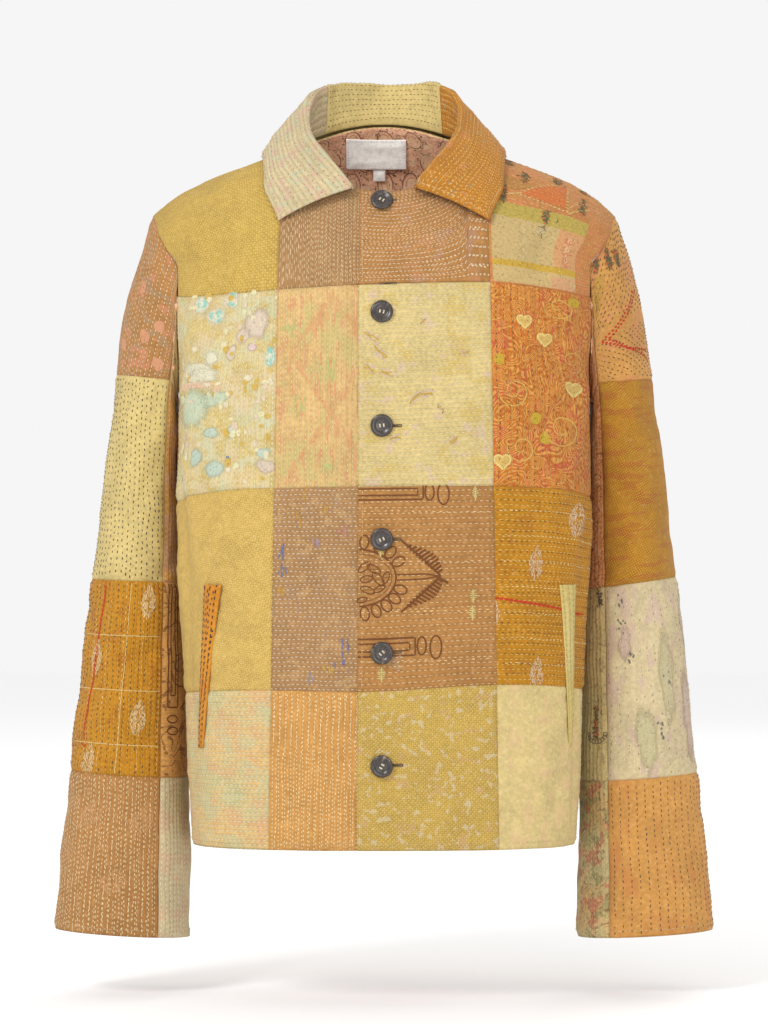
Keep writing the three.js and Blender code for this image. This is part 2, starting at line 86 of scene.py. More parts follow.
def curve(*knots):
    """A smooth curve through (at, value) knots that never swings past them."""
    at = np.array([k[0] for k in knots], float)
    value = np.array([k[1] for k in knots], float)
    rises = np.diff(value) / np.diff(at)
    before = np.concatenate([rises[:1], rises])
    after = np.concatenate([rises, rises[-1:]])
    total = np.where(before * after > 0, before + after, 1)
    slopes = np.where(before * after > 0, 2 * before * after / total, 0)

    def through(x):
        x = np.clip(x, at[0], at[-1])
        i = np.clip(np.searchsorted(at, x, side="right") - 1, 0, len(at) - 2)
        span = at[i + 1] - at[i]
        rise = value[i + 1] - value[i]
        t = (x - at[i]) / span
        bend = (slopes[i] * (1 - t) - slopes[i + 1] * t) * span + rise * (2 * t - 1)
        return value[i] + rise * t + bend * t * (1 - t)

    return through


def smoothstep(x, low, high):
    t = np.clip((x - low) / (high - low), 0, 1)
    return t * t * (3 - 2 * t)


def lerp(a, b, t):
    return a + (b - a) * t


side_x = curve((-661, 181), (-585, 184.5), (-480, 189.5), (-330, 195.5), (-225, 194.5))
FRONT = {
    "depth": curve((-661, -112), (-500, -120), (-330, -128), (-225, -128)),
    "top": curve((-75, 11), (0, 24), (75, 11), (107, -2), (185, -33), (205, -46), (222, -61)),
    "neck": lambda x: NECK_SIDE_Z - NECK_FRONT_DROP * np.sqrt(np.maximum(1 - (x / NECK_HALF) ** 2, 0)),
    # Soft folds as (share across, level, share wide, level tall, slant, depth).
    "folds": [
        (0.86, -330, 0.035, 120, 0, 3.4), (-0.86, -250, 0.035, 130, 0, 3.2), (0.7, 130, 0.05, 60, 0, 2.5),
        (-0.72, 140, 0.05, 60, 0, 3.0), (0.93, -60, 0.05, 70, 0.0006, 3.0),
        (-0.93, -70, 0.05, 70, -0.0006, 3.0),
        (0.62, -400, 0.06, 90, 0.0003, 1.8), (-0.42, -410, 0.05, 80, 0, 1.6),
        (0.3, -330, 0.08, 150, 0, 1.2),
    ],
    # Creases from one (across, level) to another in millimetres, with their width and depth.
    "creases": [
        (-196, 46, -98, -66, 9, 2.4), (-198, 6, -126, -140, 9, 2.2), (-190, -30, -158, -230, 10, 2.4),
        (196, 46, 104, -74, 9, 2.4), (198, -4, 138, -150, 9, 2.2), (190, -44, 164, -250, 10, 2.4),
        (-156, 216, -108, 66, 10, 1.9), (156, 216, 116, 74, 10, 1.9), (-66, 132, -30, -46, 12, 1.5),
        (76, 150, 40, -26, 12, 1.5), (-132, -296, -118, -430, 9, 2.0), (-36, -326, -58, -430, 10, 1.7),
        (58, -296, 76, -430, 10, 1.7), (152, -326, 140, -430, 9, 2.0), (-96, -172, -8, -236, 9, 1.4),
        (20, -140, 112, -196, 9, 1.4), (-188, 96, -120, 34, 8, 1.8), (188, 90, 122, 22, 8, 1.8),
        (-150, -60, -60, -98, 8, 1.3), (150, -70, 64, -112, 8, 1.3),
    ],
}
BACK = {
    "depth": curve((-661, 106), (-450, 99), (-330, 106), (-225, 114)),
    "top": curve((-40, 40), (0, 56), (40, 40), (75, 11), (107, -2), (185, -33), (205, -46), (222, -61)),
    "neck": lambda x: NECK_SIDE_Z + NECK_BACK_RISE * (1 - (x / NECK_HALF) ** 2),
    "folds": [
        (0.62, -210, 0.06, 190, 0, 4.0), (-0.62, -230, 0.06, 180, 0, 4.0), (0.0, -120, 0.09, 170, 0, 3.0),
        (0.85, -20, 0.06, 110, 0.0007, 3.2), (-0.85, -30, 0.06, 110, -0.0007, 3.2),
    ],
    "creases": [
        (-196, 50, -84, -70, 10, 2.6), (196, 44, 88, -66, 10, 2.6), (-176, -20, -142, -236, 11, 2.4),
        (178, -26, 144, -228, 11, 2.4), (-64, 196, -38, -8, 14, 1.9), (62, 186, 42, -4, 14, 1.9),
        (-38, -196, -66, -430, 12, 2.2), (48, -176, 74, -430, 12, 2.2), (4, -56, -22, -306, 14, 1.7),
        (-134, -296, -126, -430, 10, 2.2), (132, -290, 138, -430, 10, 2.2), (-190, 110, -110, 40, 9, 1.8),
        (190, 106, 112, 36, 9, 1.8), (-120, 226, -90, 90, 11, 1.6), (124, 230, 92, 84, 11, 1.6),
    ],
}
armhole_x = curve((0, 194.5), (37, 194.5), (48, 206), (60, 214), (90, 221.5))
armhole_turn = curve((0, 90), (13, 80), (26, 74), (37, 71), (60, 71), (90, 80))


def column_x(level):
    fall = (SHOULDER_LEVEL - level) / (SHOULDER_LEVEL + UNDERARM_Z - HEM_Z)
    return COLUMN_TOP_X + COLUMN_FLARE * fall


def crease(x, y, start_x, start_y, end_x, end_y, wide):
    """One soft crease: a trough between two low ridges, 1 at its deepest and fading out at both ends."""
    run_x, run_y = end_x - start_x, end_y - start_y
    along = ((x - start_x) * run_x + (y - start_y) * run_y) / (run_x ** 2 + run_y ** 2)
    off = np.abs((x - start_x) * run_y - (y - start_y) * run_x) / math.hypot(run_x, run_y) / wide
    return np.maximum(4 * along * (1 - along),
            0) * (np.exp(-(off ** 2)) - 0.45 * np.exp(-((off - 1.8) ** 2)))


def body_point(face, share, level):
    """The body's outer face at a share across, -1 to 1, and a level up from the underarm."""
    rise = np.maximum(level, 0) / CHEST_ARC
    rise_degrees = np.degrees(rise)
    z = UNDERARM_Z + np.minimum(level, 0)
    turn = np.radians(armhole_turn(rise_degrees))
    reach = np.where(level > 0, armhole_x(rise_degrees) / np.sin(turn) ** (2 / SQUARENESS), side_x(z))
    column = column_x(level)
    column_turn = np.arcsin((column / reach) ** (SQUARENESS / 2))
    across = np.minimum(np.abs(share), 1)
    inner = np.arcsin(np.clip((2 * across * column / reach) ** (SQUARENESS / 2), 0, 1))
    angle = np.where(across > 0.5, lerp(column_turn, turn, 2 * across - 1), inner)
    x = reach * np.sin(angle) ** (2 / SQUARENESS)
    depth = face["depth"](z)
    ring_y = SIDE_Y + (depth - SIDE_Y) * np.maximum(np.cos(angle), 0) ** (2 / SQUARENESS)
    y = np.where(level > 0, SHOULDER_Y + (ring_y - SHOULDER_Y) * np.cos(rise), ring_y)
    pinch = 0
    for at, height, wide, tall, slant, deep in face["folds"]:
        offset = share - at - slant * (level - height)
        pinch = pinch + deep * np.exp(-((offset / wide) ** 2) - ((level - height) / tall) ** 2)
    for *ends, wide, deep in face["creases"]:
        pinch = pinch + deep * crease(share * 200, level, *ends, wide)
    toward_x = x / reach ** 2
    toward_y = (ring_y - SIDE_Y) / (depth - SIDE_Y) ** 2
    size = np.hypot(toward_x, toward_y)
    climbed = UNDERARM_Z + (face["top"](x) - UNDERARM_Z) * np.sin(rise)
    height = np.where(level > 0, climbed, z)
    x_out = np.sign(share) * (x - pinch * toward_x / size)
    return np.stack([x_out, y - pinch * toward_y / size, height], axis=-1)


def level_at(face, x, z):
    climb = (z - UNDERARM_Z) / (face["top"](x) - UNDERARM_Z)
    above = CHEST_ARC * np.arcsin(np.clip(climb, 0, 1))
    return np.where(z < UNDERARM_Z, z - UNDERARM_Z, above)


FRONT_SEAMS = [
    curve((-1, -137.7), (-0.5, -134), (-0.117, -130), (0.5, -127), (1, -137.7)),
    curve((-1, -331), (-0.5, -318), (0.5, -316), (1, -326)),
    curve((-1, -511), (-0.5, -505), (-0.117, -506), (0.5, -500), (1, -508)),
    lambda share: HEM_Z + 0 * share,
]


def row_level(face, seams, row, share):
    across = np.abs(share)
    if row == 0:
        x = 2 * across * COLUMN_TOP_X
        neck = level_at(face, x, face["neck"](np.minimum(x, NECK_HALF)))
        return np.where(x < NECK_HALF, neck, SHOULDER_LEVEL)
    station = np.where(across > 0.5, lerp(98, 194.5, 2 * across - 1), 2 * across * 98)
    return level_at(face, station, seams[row - 1](share))


def body_surface(face, seams, row, start, end, lift=None):
    """A patch's own surface: u runs to the right as it is looked at from outside, and v upward."""
    def surface(u, v):
        share = lerp(start, end, u) if face is FRONT else lerp(end, start, u)
        level = lerp(row_level(face, seams, row + 1, share), row_level(face, seams, row, share), v)
        point = body_point(face, share, level)
        if lift is not None:
            point[..., 1] += lift(share)
        return point
    return surface


def soft_noise(x, y, seed):
    """Smooth random swells from -1 to 1, about one unit across."""
    table = np.random.default_rng(seed).uniform(-1, 1, (61, 61))
    column, line = np.floor(x).astype(int), np.floor(y).astype(int)
    fx, fy = x - column, y - line
    fx, fy = fx * fx * (3 - 2 * fx), fy * fy * (3 - 2 * fy)
    low = lerp(table[line % 61, column % 61], table[line % 61, (column + 1) % 61], fx)
    high = lerp(table[(line + 1) % 61, column % 61], table[(line + 1) % 61, (column + 1) % 61], fx)
    return lerp(low, high, fy)


class Patch:
    """One cut of cloth laid on its surface, with the swells that its quilting and seams pull into it."""

    def __init__(self, name, surface, step, swell=(14, 5.5), swell_depth=0.6, seed=1, dip=SEAM_DIP):
        self.name = name
        self.surface = surface
        self.swell = swell
        self.swell_depth = swell_depth
        self.seed = seed
        self.dip = dip
        line = np.linspace(0, 1, 40)
        across = surface(line[None, :], np.array([0.2, 0.5, 0.8])[:, None])
        upward = surface(np.array([0.2, 0.5, 0.8])[:, None], line[None, :])
        self.width = np.linalg.norm(np.diff(across, axis=1), axis=-1).sum(axis=1).mean()
        self.height = np.linalg.norm(np.diff(upward, axis=1), axis=-1).sum(axis=1).mean()
        net = surface(line[None, :], line[:, None])
        squares = np.cross(net[:-1, 1:] - net[:-1, :-1], net[1:, :-1] - net[:-1, :-1])
        share = np.linalg.norm(squares, axis=-1).sum() / (self.width * self.height)
        self.area = self.width * self.height * min(max(share, LEAST_SHARE), MOST_SHARE)
        self.piece = self.make(step)

    def relief(self, x, y):
        edge = np.minimum.reduce([x, y, self.width - x, self.height - y])
        edge = np.maximum(edge, 0)
        long, short = self.swell
        swells = soft_noise(x / long, y / short, self.seed) * self.swell_depth
        swells += soft_noise(x / 7, y / 7, self.seed + 7) * self.swell_depth * 0.35
        swells += soft_noise(x / 45, y / 38, self.seed + 3) * 1.7
        inside = 1 - np.exp(-((edge / 5) ** 2))
        ridge = 0.4 * np.exp(-(((edge - 7) / 4) ** 2))
        return swells * inside - self.dip * np.exp(-((edge / 2.4) ** 2)) + ridge

    def laid(self, x, y, lift=0):
        """The cloth's outer face at x, y millimetres from the patch's lower left corner, in metres."""
        u, v = x / self.width, y / self.height
        near = SURFACE_STEP
        across = self.surface(u + near, v) - self.surface(u - near, v)
        upward = self.surface(u, v + near) - self.surface(u, v - near)
        outward = np.cross(across, upward)
        outward /= np.maximum(np.linalg.norm(outward, axis=-1, keepdims=True), 1e-9)
        out = self.relief(x, y) + lift
        return (self.surface(u, v) + outward * out[..., None]) * MM

    def make(self, step):
        bm = bmesh.new()
        columns = max(round(self.width / step), 4)
        rows = max(round(self.height / step), 4)
        bmesh.ops.create_grid(bm, x_segments=columns, y_segments=rows, size=0.5)
        mesh = bpy.data.meshes.new(self.name)
        bm.to_mesh(mesh)
        bm.free()
        at = np.empty(len(mesh.vertices) * 3)
        mesh.vertices.foreach_get("co", at)
        x = lerp(-SEAM_TUCK, self.width + SEAM_TUCK, at[0::3] + 0.5)
        y = lerp(-SEAM_TUCK, self.height + SEAM_TUCK, at[1::3] + 0.5)
        mesh.vertices.foreach_set("co", self.laid(x, y).ravel())
        corners = np.empty(len(mesh.loops), int)
        mesh.loops.foreach_get("vertex_index", corners)
        uv = mesh.uv_layers.new(name="cloth")
        uv.data.foreach_set("uv", (np.stack([x, y], axis=-1)[corners] * MM).ravel())
        mesh.polygons.foreach_set("use_smooth", [True] * len(mesh.polygons))
        mesh.update()
        return placed_object(self.name, mesh)


STUDIO_GAIN = 1.35
DEEPER_SHARE = 0.93


def dye(red, green, blue):
    """A cloth colour from its red, green and blue as seen in the studio light, 0 to 255; past 255 it paints
    in light.
    """
    shares = [c / 255 for c in (red, green, blue)]
    return (*[(c / 12.92 if c <= 0.04045 else ((c + 0.055) / 1.055) ** 2.4) / STUDIO_GAIN for c in shares],
            1)


def new_material(name):
    """A material with its tree and its shader."""
    material = bpy.data.materials.new(name)
    material.use_nodes = True
    return material, material.node_tree, material.node_tree.nodes["Principled BSDF"]


def placed_object(name, mesh):
    made = bpy.data.objects.new(name, mesh)
    scene.collection.objects.link(made)
    return made


def wire(tree, kind, inputs=None, **settings):
    """Adds a shader node to a tree, with its settings, and feeds its inputs from sockets or plain values."""
    made = tree.nodes.new("ShaderNode" + kind)
    for key, value in settings.items():
        setattr(made, key, value)
    for key, value in (inputs or {}).items():
        if isinstance(value, bpy.types.NodeSocket):
            tree.links.new(value, made.inputs[key])
        else:
            made.inputs[key].default_value = value
    return made


def sums(tree, operation, *values):
    return wire(tree, "Math", dict(enumerate(values)), operation=operation).outputs[0]


def plus(tree, a, b):
    return sums(tree, "ADD", a, b)


def minus(tree, a, b):
    return sums(tree, "SUBTRACT", a, b)


def times(tree, a, b):
    return sums(tree, "MULTIPLY", a, b)


def over(tree, a, b):
    return sums(tree, "DIVIDE", a, b)


def ramp(tree, value, low, high, out_low=0.0, out_high=1.0):
    return wire(tree, "MapRange", {
        "Value": value, "From Min": low, "From Max": high, "To Min": out_low, "To Max": out_high,
    }, interpolation_type="SMOOTHSTEP").outputs[0]


def blend(tree, factor, a, b, blend_type="MIX"):
    made = wire(tree, "Mix", {0: factor, 6: a, 7: b}, data_type="RGBA", blend_type=blend_type)
    return made.outputs[2]


def node_group(name, inputs, outputs):
    tree = bpy.data.node_groups.new(name, "ShaderNodeTree")
    for label, kind, value in inputs:
        socket = tree.interface.new_socket(label, in_out="INPUT", socket_type=kind)
        if value is not None:
            socket.default_value = value
    for label, kind in outputs:
        tree.interface.new_socket(label, in_out="OUTPUT", socket_type=kind)
    return tree, tree.nodes.new("NodeGroupInput").outputs, tree.nodes.new("NodeGroupOutput").inputs


# Rows of running stitch: a thread mask, and the pucker that each row pulls into the cloth, which also sets
# the painted shade along each row.
tree, given, out = node_group("running_stitch", [
    ("Cloth", "NodeSocketVector", None), ("Row Gap", "NodeSocketFloat", 0.005),
    ("Stitch Pitch", "NodeSocketFloat", 0.006), ("Thread Width", "NodeSocketFloat", 0.0006),
    ("Wander", "NodeSocketFloat", 0.002),
], [("Thread", "NodeSocketFloat"), ("Pucker", "NodeSocketFloat")])
drift = wire(tree, "TexNoise", {"Vector": given["Cloth"], "Scale": 45, "Detail": 1.0})
apart = wire(tree, "SeparateXYZ", {0: given["Cloth"]})
swing = times(tree, minus(tree, drift.outputs[0], 0.5), given["Wander"])
row_at = over(tree, plus(tree, apart.outputs["Y"], swing), given["Row Gap"])
row_number = sums(tree, "FLOOR", row_at)
off_row = sums(tree, "ABSOLUTE", minus(tree, sums(tree, "FRACT", row_at), 0.5))
row_chance = wire(tree, "TexWhiteNoise", {"W": row_number}, noise_dimensions="1D")
run_at = plus(tree, over(tree, apart.outputs["X"], given["Stitch Pitch"]),
              row_chance.outputs[0])
stitch_chance = wire(tree, "TexWhiteNoise", {
    "Vector": wire(tree, "CombineXYZ", {
        0: sums(tree, "FLOOR", run_at), 1: row_number}).outputs[0]}, noise_dimensions="2D")
off_middle = sums(tree, "ABSOLUTE", minus(tree, sums(tree, "FRACT", run_at), 0.5))
half_share = plus(tree, 0.2, times(tree, stitch_chance.outputs[0], 0.1))
along = ramp(tree, minus(tree, off_middle, half_share), 0.03, -0.03)
off_metres = times(tree, off_row, given["Row Gap"])
thin = ramp(tree, over(tree, off_metres, given["Thread Width"]), 0.75, 0.35)
tree.links.new(times(tree, along, thin), out["Thread"])
tree.links.new(ramp(tree, off_row, 0.0, 0.42), out["Pucker"])
stitch_tree = tree

# Crossed rows of tiny stitches that stand the cloth up in diamonds; their pucker also sets painted shade
# along the stitched lines.
tree, given, out = node_group("diamond_quilting", [
    ("Cloth", "NodeSocketVector", None), ("Size", "NodeSocketFloat", 0.006),
], [("Thread", "NodeSocketFloat"), ("Pucker", "NodeSocketFloat")])
drift = wire(tree, "TexNoise", {"Vector": given["Cloth"], "Scale": 60, "Detail": 2.0})
shaken = wire(tree, "VectorMath", {
    0: given["Cloth"],
    1: wire(tree, "VectorMath", {0: drift.outputs["Color"], 3: 0.004},
            operation="SCALE").outputs[0]}, operation="ADD")
apart = wire(tree, "SeparateXYZ", {0: shaken.outputs[0]})
rising = over(tree, plus(tree, apart.outputs["X"], apart.outputs["Y"]), given["Size"])
falling = over(tree, minus(tree, apart.outputs["X"], apart.outputs["Y"]),
               given["Size"])
off_rising = sums(tree, "ABSOLUTE", minus(tree, sums(tree, "FRACT", rising), 0.5))
off_falling = sums(tree, "ABSOLUTE", minus(tree, sums(tree, "FRACT", falling), 0.5))
nearest = sums(tree, "MINIMUM", off_rising, off_falling)
furthest = sums(tree, "MAXIMUM", off_rising, off_falling)
crossing = ramp(tree, nearest, 0.12, 0.03)
dashes = ramp(tree, furthest, 0.34, 0.28)
tree.links.new(times(tree, crossing, dashes), out["Thread"])
tree.links.new(ramp(tree, nearest, 0.0, 0.4), out["Pucker"])
diamond_tree = tree

# Woven cotton: fine slubby yarns both ways.
tree, given, out = node_group("woven_cotton", [
    ("Cloth", "NodeSocketVector", None), ("Yarn", "NodeSocketFloat", 0.0007),
], [("Grain", "NodeSocketFloat")])
threads = []
for stretch in ((1.0, 0.14, 1.0), (0.14, 1.0, 1.0)):
    laid = wire(tree, "Mapping", {"Vector": given["Cloth"], "Scale": stretch})
    scale = over(tree, 1.0, given["Yarn"])
    threads.append(wire(tree, "TexNoise", {
        "Vector": laid.outputs[0], "Scale": scale, "Detail": 1.0}).outputs[0])
tree.links.new(times(tree, plus(tree, *threads), 0.5), out["Grain"])
weave_tree = tree

# Uneven dye: two colours in soft clouds, with paler worn flecks.
tree, given, out = node_group("uneven_dye", [
    ("Cloth", "NodeSocketVector", None), ("Ground", "NodeSocketColor", None),
    ("Shade", "NodeSocketColor", None),
    ("Wear", "NodeSocketFloat", 0.3),
], [("Color", "NodeSocketColor")])
clouds = wire(tree, "TexNoise", {
    "Vector": given["Cloth"], "Scale": 26, "Detail": 5.0, "Roughness": 0.62})
flecks = wire(tree, "TexNoise", {
    "Vector": given["Cloth"], "Scale": 260, "Detail": 3.0, "Roughness": 0.7})
cloudy = blend(tree, ramp(tree, clouds.outputs[0], 0.36, 0.68), given["Ground"], given["Shade"])
fine = ramp(tree, flecks.outputs[0], 0.3, 0.7, 0.86, 1.1)
speckled = wire(tree, "VectorMath", {0: cloudy, 3: fine}, operation="SCALE").outputs[0]
worn = times(tree, ramp(tree, flecks.outputs[0], 0.58, 0.72), given["Wear"])
tree.links.new(blend(tree, worn, speckled, dye(232, 214, 172)), out["Color"])
dye_tree = tree

# Smudges of another dye, soft or broken at the edge.
tree, given, out = node_group("dye_smudge", [
    ("Cloth", "NodeSocketVector", None), ("Size", "NodeSocketFloat", 0.02),
    ("Cover", "NodeSocketFloat", 0.3),
    ("Softness", "NodeSocketFloat", 0.06), ("Stretch", "NodeSocketVector", None),
], [("Mask", "NodeSocketFloat")])
laid = wire(tree, "Mapping", {"Vector": given["Cloth"], "Scale": given["Stretch"]})
clouds = wire(tree, "TexNoise", {
    "Vector": laid.outputs[0], "Scale": over(tree, 1.0, given["Size"]), "Detail": 3.0,
    "Roughness": 0.55})
edge = minus(tree, 0.8, times(tree, given["Cover"], 0.6))
past = over(tree, minus(tree, clouds.outputs[0], edge), given["Softness"])
tree.links.new(ramp(tree, past, -0.5, 0.5), out["Mask"])
smudge_tree = tree

# Scrolling lines, as in a block-printed paisley or swirl.
tree, given, out = node_group("scroll_print", [
    ("Cloth", "NodeSocketVector", None), ("Size", "NodeSocketFloat", 0.03),
    ("Rings", "NodeSocketFloat", 5.0),
    ("Line", "NodeSocketFloat", 0.2),
], [("Mask", "NodeSocketFloat")])
swirl = wire(tree, "TexNoise", {
    "Vector": given["Cloth"], "Scale": over(tree, 1.0, given["Size"]), "Detail": 0.0,
    "Distortion": 0.8})
ring = sums(tree, "FRACT", times(tree, swirl.outputs[0], given["Rings"]))
off_line = sums(tree, "ABSOLUTE", minus(tree, ring, 0.5))
breaks = wire(tree, "TexNoise", {"Vector": given["Cloth"], "Scale": 220, "Detail": 2.0})
line = ramp(tree, over(tree, off_line, given["Line"]), 1.0, 0.6)
tree.links.new(times(tree, line, ramp(tree, breaks.outputs[0], 0.36, 0.5)), out["Mask"])
scroll_tree = tree


def deeper(colour):
    """The same dye where it has taken more strongly."""
    return tuple(round(DEEPER_SHARE * part) for part in colour)


def cloth_material(name, ground, shade=None, smudges=(), scrolls=(), rows=(), diamonds=None, wear=0.3,
        seed=0):
    """Worn quilted cotton, with painted shade along its quilting. smudges are (colour, size, cover, softness,
    strength, stretch) in millimetres, scrolls (colour, size, rings, line, strength), and rows (colour, turn,
    gap, pitch, width, wander)."""
    shade = shade or deeper(ground)
    material, tree, shader = new_material(name)
    shader.inputs["Sheen Weight"].default_value = 0.05
    shader.inputs["Sheen Roughness"].default_value = 0.6
    shader.inputs["Specular IOR Level"].default_value = 0.2
    cloth_uv = wire(tree, "UVMap", uv_map="cloth").outputs[0]
    cloth = wire(tree, "Mapping", {"Vector": cloth_uv, "Location": (seed * 1.37, seed * 0.73, seed * 0.19)})
    cloth = cloth.outputs[0]

    def group(tree_used, **inputs):
        made = wire(tree, "Group", node_tree=tree_used)
        for key, value in {"Cloth": cloth, **inputs}.items():
            socket = made.inputs[key.replace("_", " ")]
            if isinstance(value, bpy.types.NodeSocket):
                tree.links.new(value, socket)
            else:
                socket.default_value = value
        return made.outputs

    colour = group(dye_tree, Ground=dye(*ground), Shade=dye(*shade), Wear=wear)["Color"]
    for order, (mark, size, cover, softness, strength, stretch) in enumerate(smudges):
        moved = wire(tree, "Mapping", {"Vector": cloth, "Location": (order * 2.3 + 0.4, order * 1.7, 0)})
        mask = group(smudge_tree, Cloth=moved.outputs[0], Size=size * MM, Cover=cover, Softness=softness,
                     Stretch=(*stretch, 1))["Mask"]
        colour = blend(tree, times(tree, mask, strength), colour, dye(*mark))
    for order, (mark, size, rings, line, strength) in enumerate(scrolls):
        moved = wire(tree, "Mapping", {"Vector": cloth, "Location": (order * 1.9 + 0.8, order, 0)})
        mask = group(scroll_tree, Cloth=moved.outputs[0], Size=size * MM, Rings=rings, Line=line)["Mask"]
        colour = blend(tree, times(tree, mask, strength), colour, dye(*mark))
    grain = group(weave_tree)["Grain"]
    height = times(tree, grain, 0.32)
    for thread, turn, gap, pitch, width, wander in rows:
        turned = wire(tree, "Mapping", {"Vector": cloth, "Rotation": (0, 0, math.radians(-turn))})
        made = group(stitch_tree, Cloth=turned.outputs[0], Row_Gap=gap * MM, Stitch_Pitch=pitch * MM,
                     Thread_Width=width * MM, Wander=wander * MM)
        # Painted shade: the colour is darkened along each row, where its pucker dips the cloth.
        colour = blend(tree, times(tree, minus(tree, 1.0, made["Pucker"]), 0.2), colour,
                       tuple(c * 0.55 for c in dye(*shade)[:3]) + (1,))
        colour = blend(tree, made["Thread"], colour, dye(*thread))
        height = plus(tree, height, times(tree, made["Pucker"], 0.5))
        height = plus(tree, height, times(tree, made["Thread"], 0.55))
    if diamonds:
        thread, size, turn = diamonds
        turned = wire(tree, "Mapping", {"Vector": cloth, "Rotation": (0, 0, math.radians(turn))})
        made = group(diamond_tree, Cloth=turned.outputs[0], Size=size * MM)
        # Painted shade: the colour is darkened along the quilted lines, where the pucker dips the cloth.
        colour = blend(tree, times(tree, minus(tree, 1.0, made["Pucker"]), 0.3), colour,
                       tuple(c * 0.5 for c in dye(*shade)[:3]) + (1,))
        colour = blend(tree, times(tree, made["Thread"], 0.8), colour, dye(*thread))
        height = plus(tree, height, times(tree, made["Pucker"], 0.7))
    bump = wire(tree, "Bump", {"Strength": 0.75, "Distance": 0.0011, "Height": height})
    tree.links.new(colour, shader.inputs["Base Color"])
    tree.links.new(bump.outputs[0], shader.inputs["Normal"])
    tree.links.new(ramp(tree, grain, 0.3, 0.7, 0.97, 0.82), shader.inputs["Roughness"])
    return material


# Painted light: the lining's colours run past 255, lighter than its own cloth, to make up for the shade
# inside the neck.
lining_material = cloth_material("lining_print", (276, 216, 176), (252, 190, 150),
        smudges=[((272, 236, 188), 14, 0.35, 0.05, 0.7, (1, 1))],
        scrolls=[((128, 92, 76), 13, 7, 0.11, 0.6), ((170, 96, 78), 6, 4, 0.1, 0.3)],
        wear=0.2, seed=90)


def finish_cloth(patch, node, slot, material, inside=None):
    """Thickens a patch inward, dresses it, and gives it its slot."""
    piece = patch.piece
    piece.data.materials.append(material)
    piece.data.materials.append(inside or lining_material)
    thick = piece.modifiers.new("cloth", "SOLIDIFY")
    thick.thickness = CLOTH * MM
    thick.offset = -1
    thick.material_offset = 1
    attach(piece, "root")
    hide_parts(node)
    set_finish(piece, slot)


# The few dyes of the whole jacket, as red, green and blue in the studio light. Old cottons share them.
MUSTARD, HONEY, OCHRE, MARIGOLD = (220, 180, 85), (230, 190, 100), (205, 140, 30), (205, 135, 45)
STRAW, BUTTER, IVORY, SAGE = (225, 200, 130), (230, 205, 140), (225, 205, 160), (205, 195, 140)
PEACH, ORANGE, APRICOT, RUST = (230, 190, 125), (220, 160, 85), (215, 140, 80), (210, 120, 45)
TAN, BISCUIT = (185, 140, 90), (190, 135, 75)


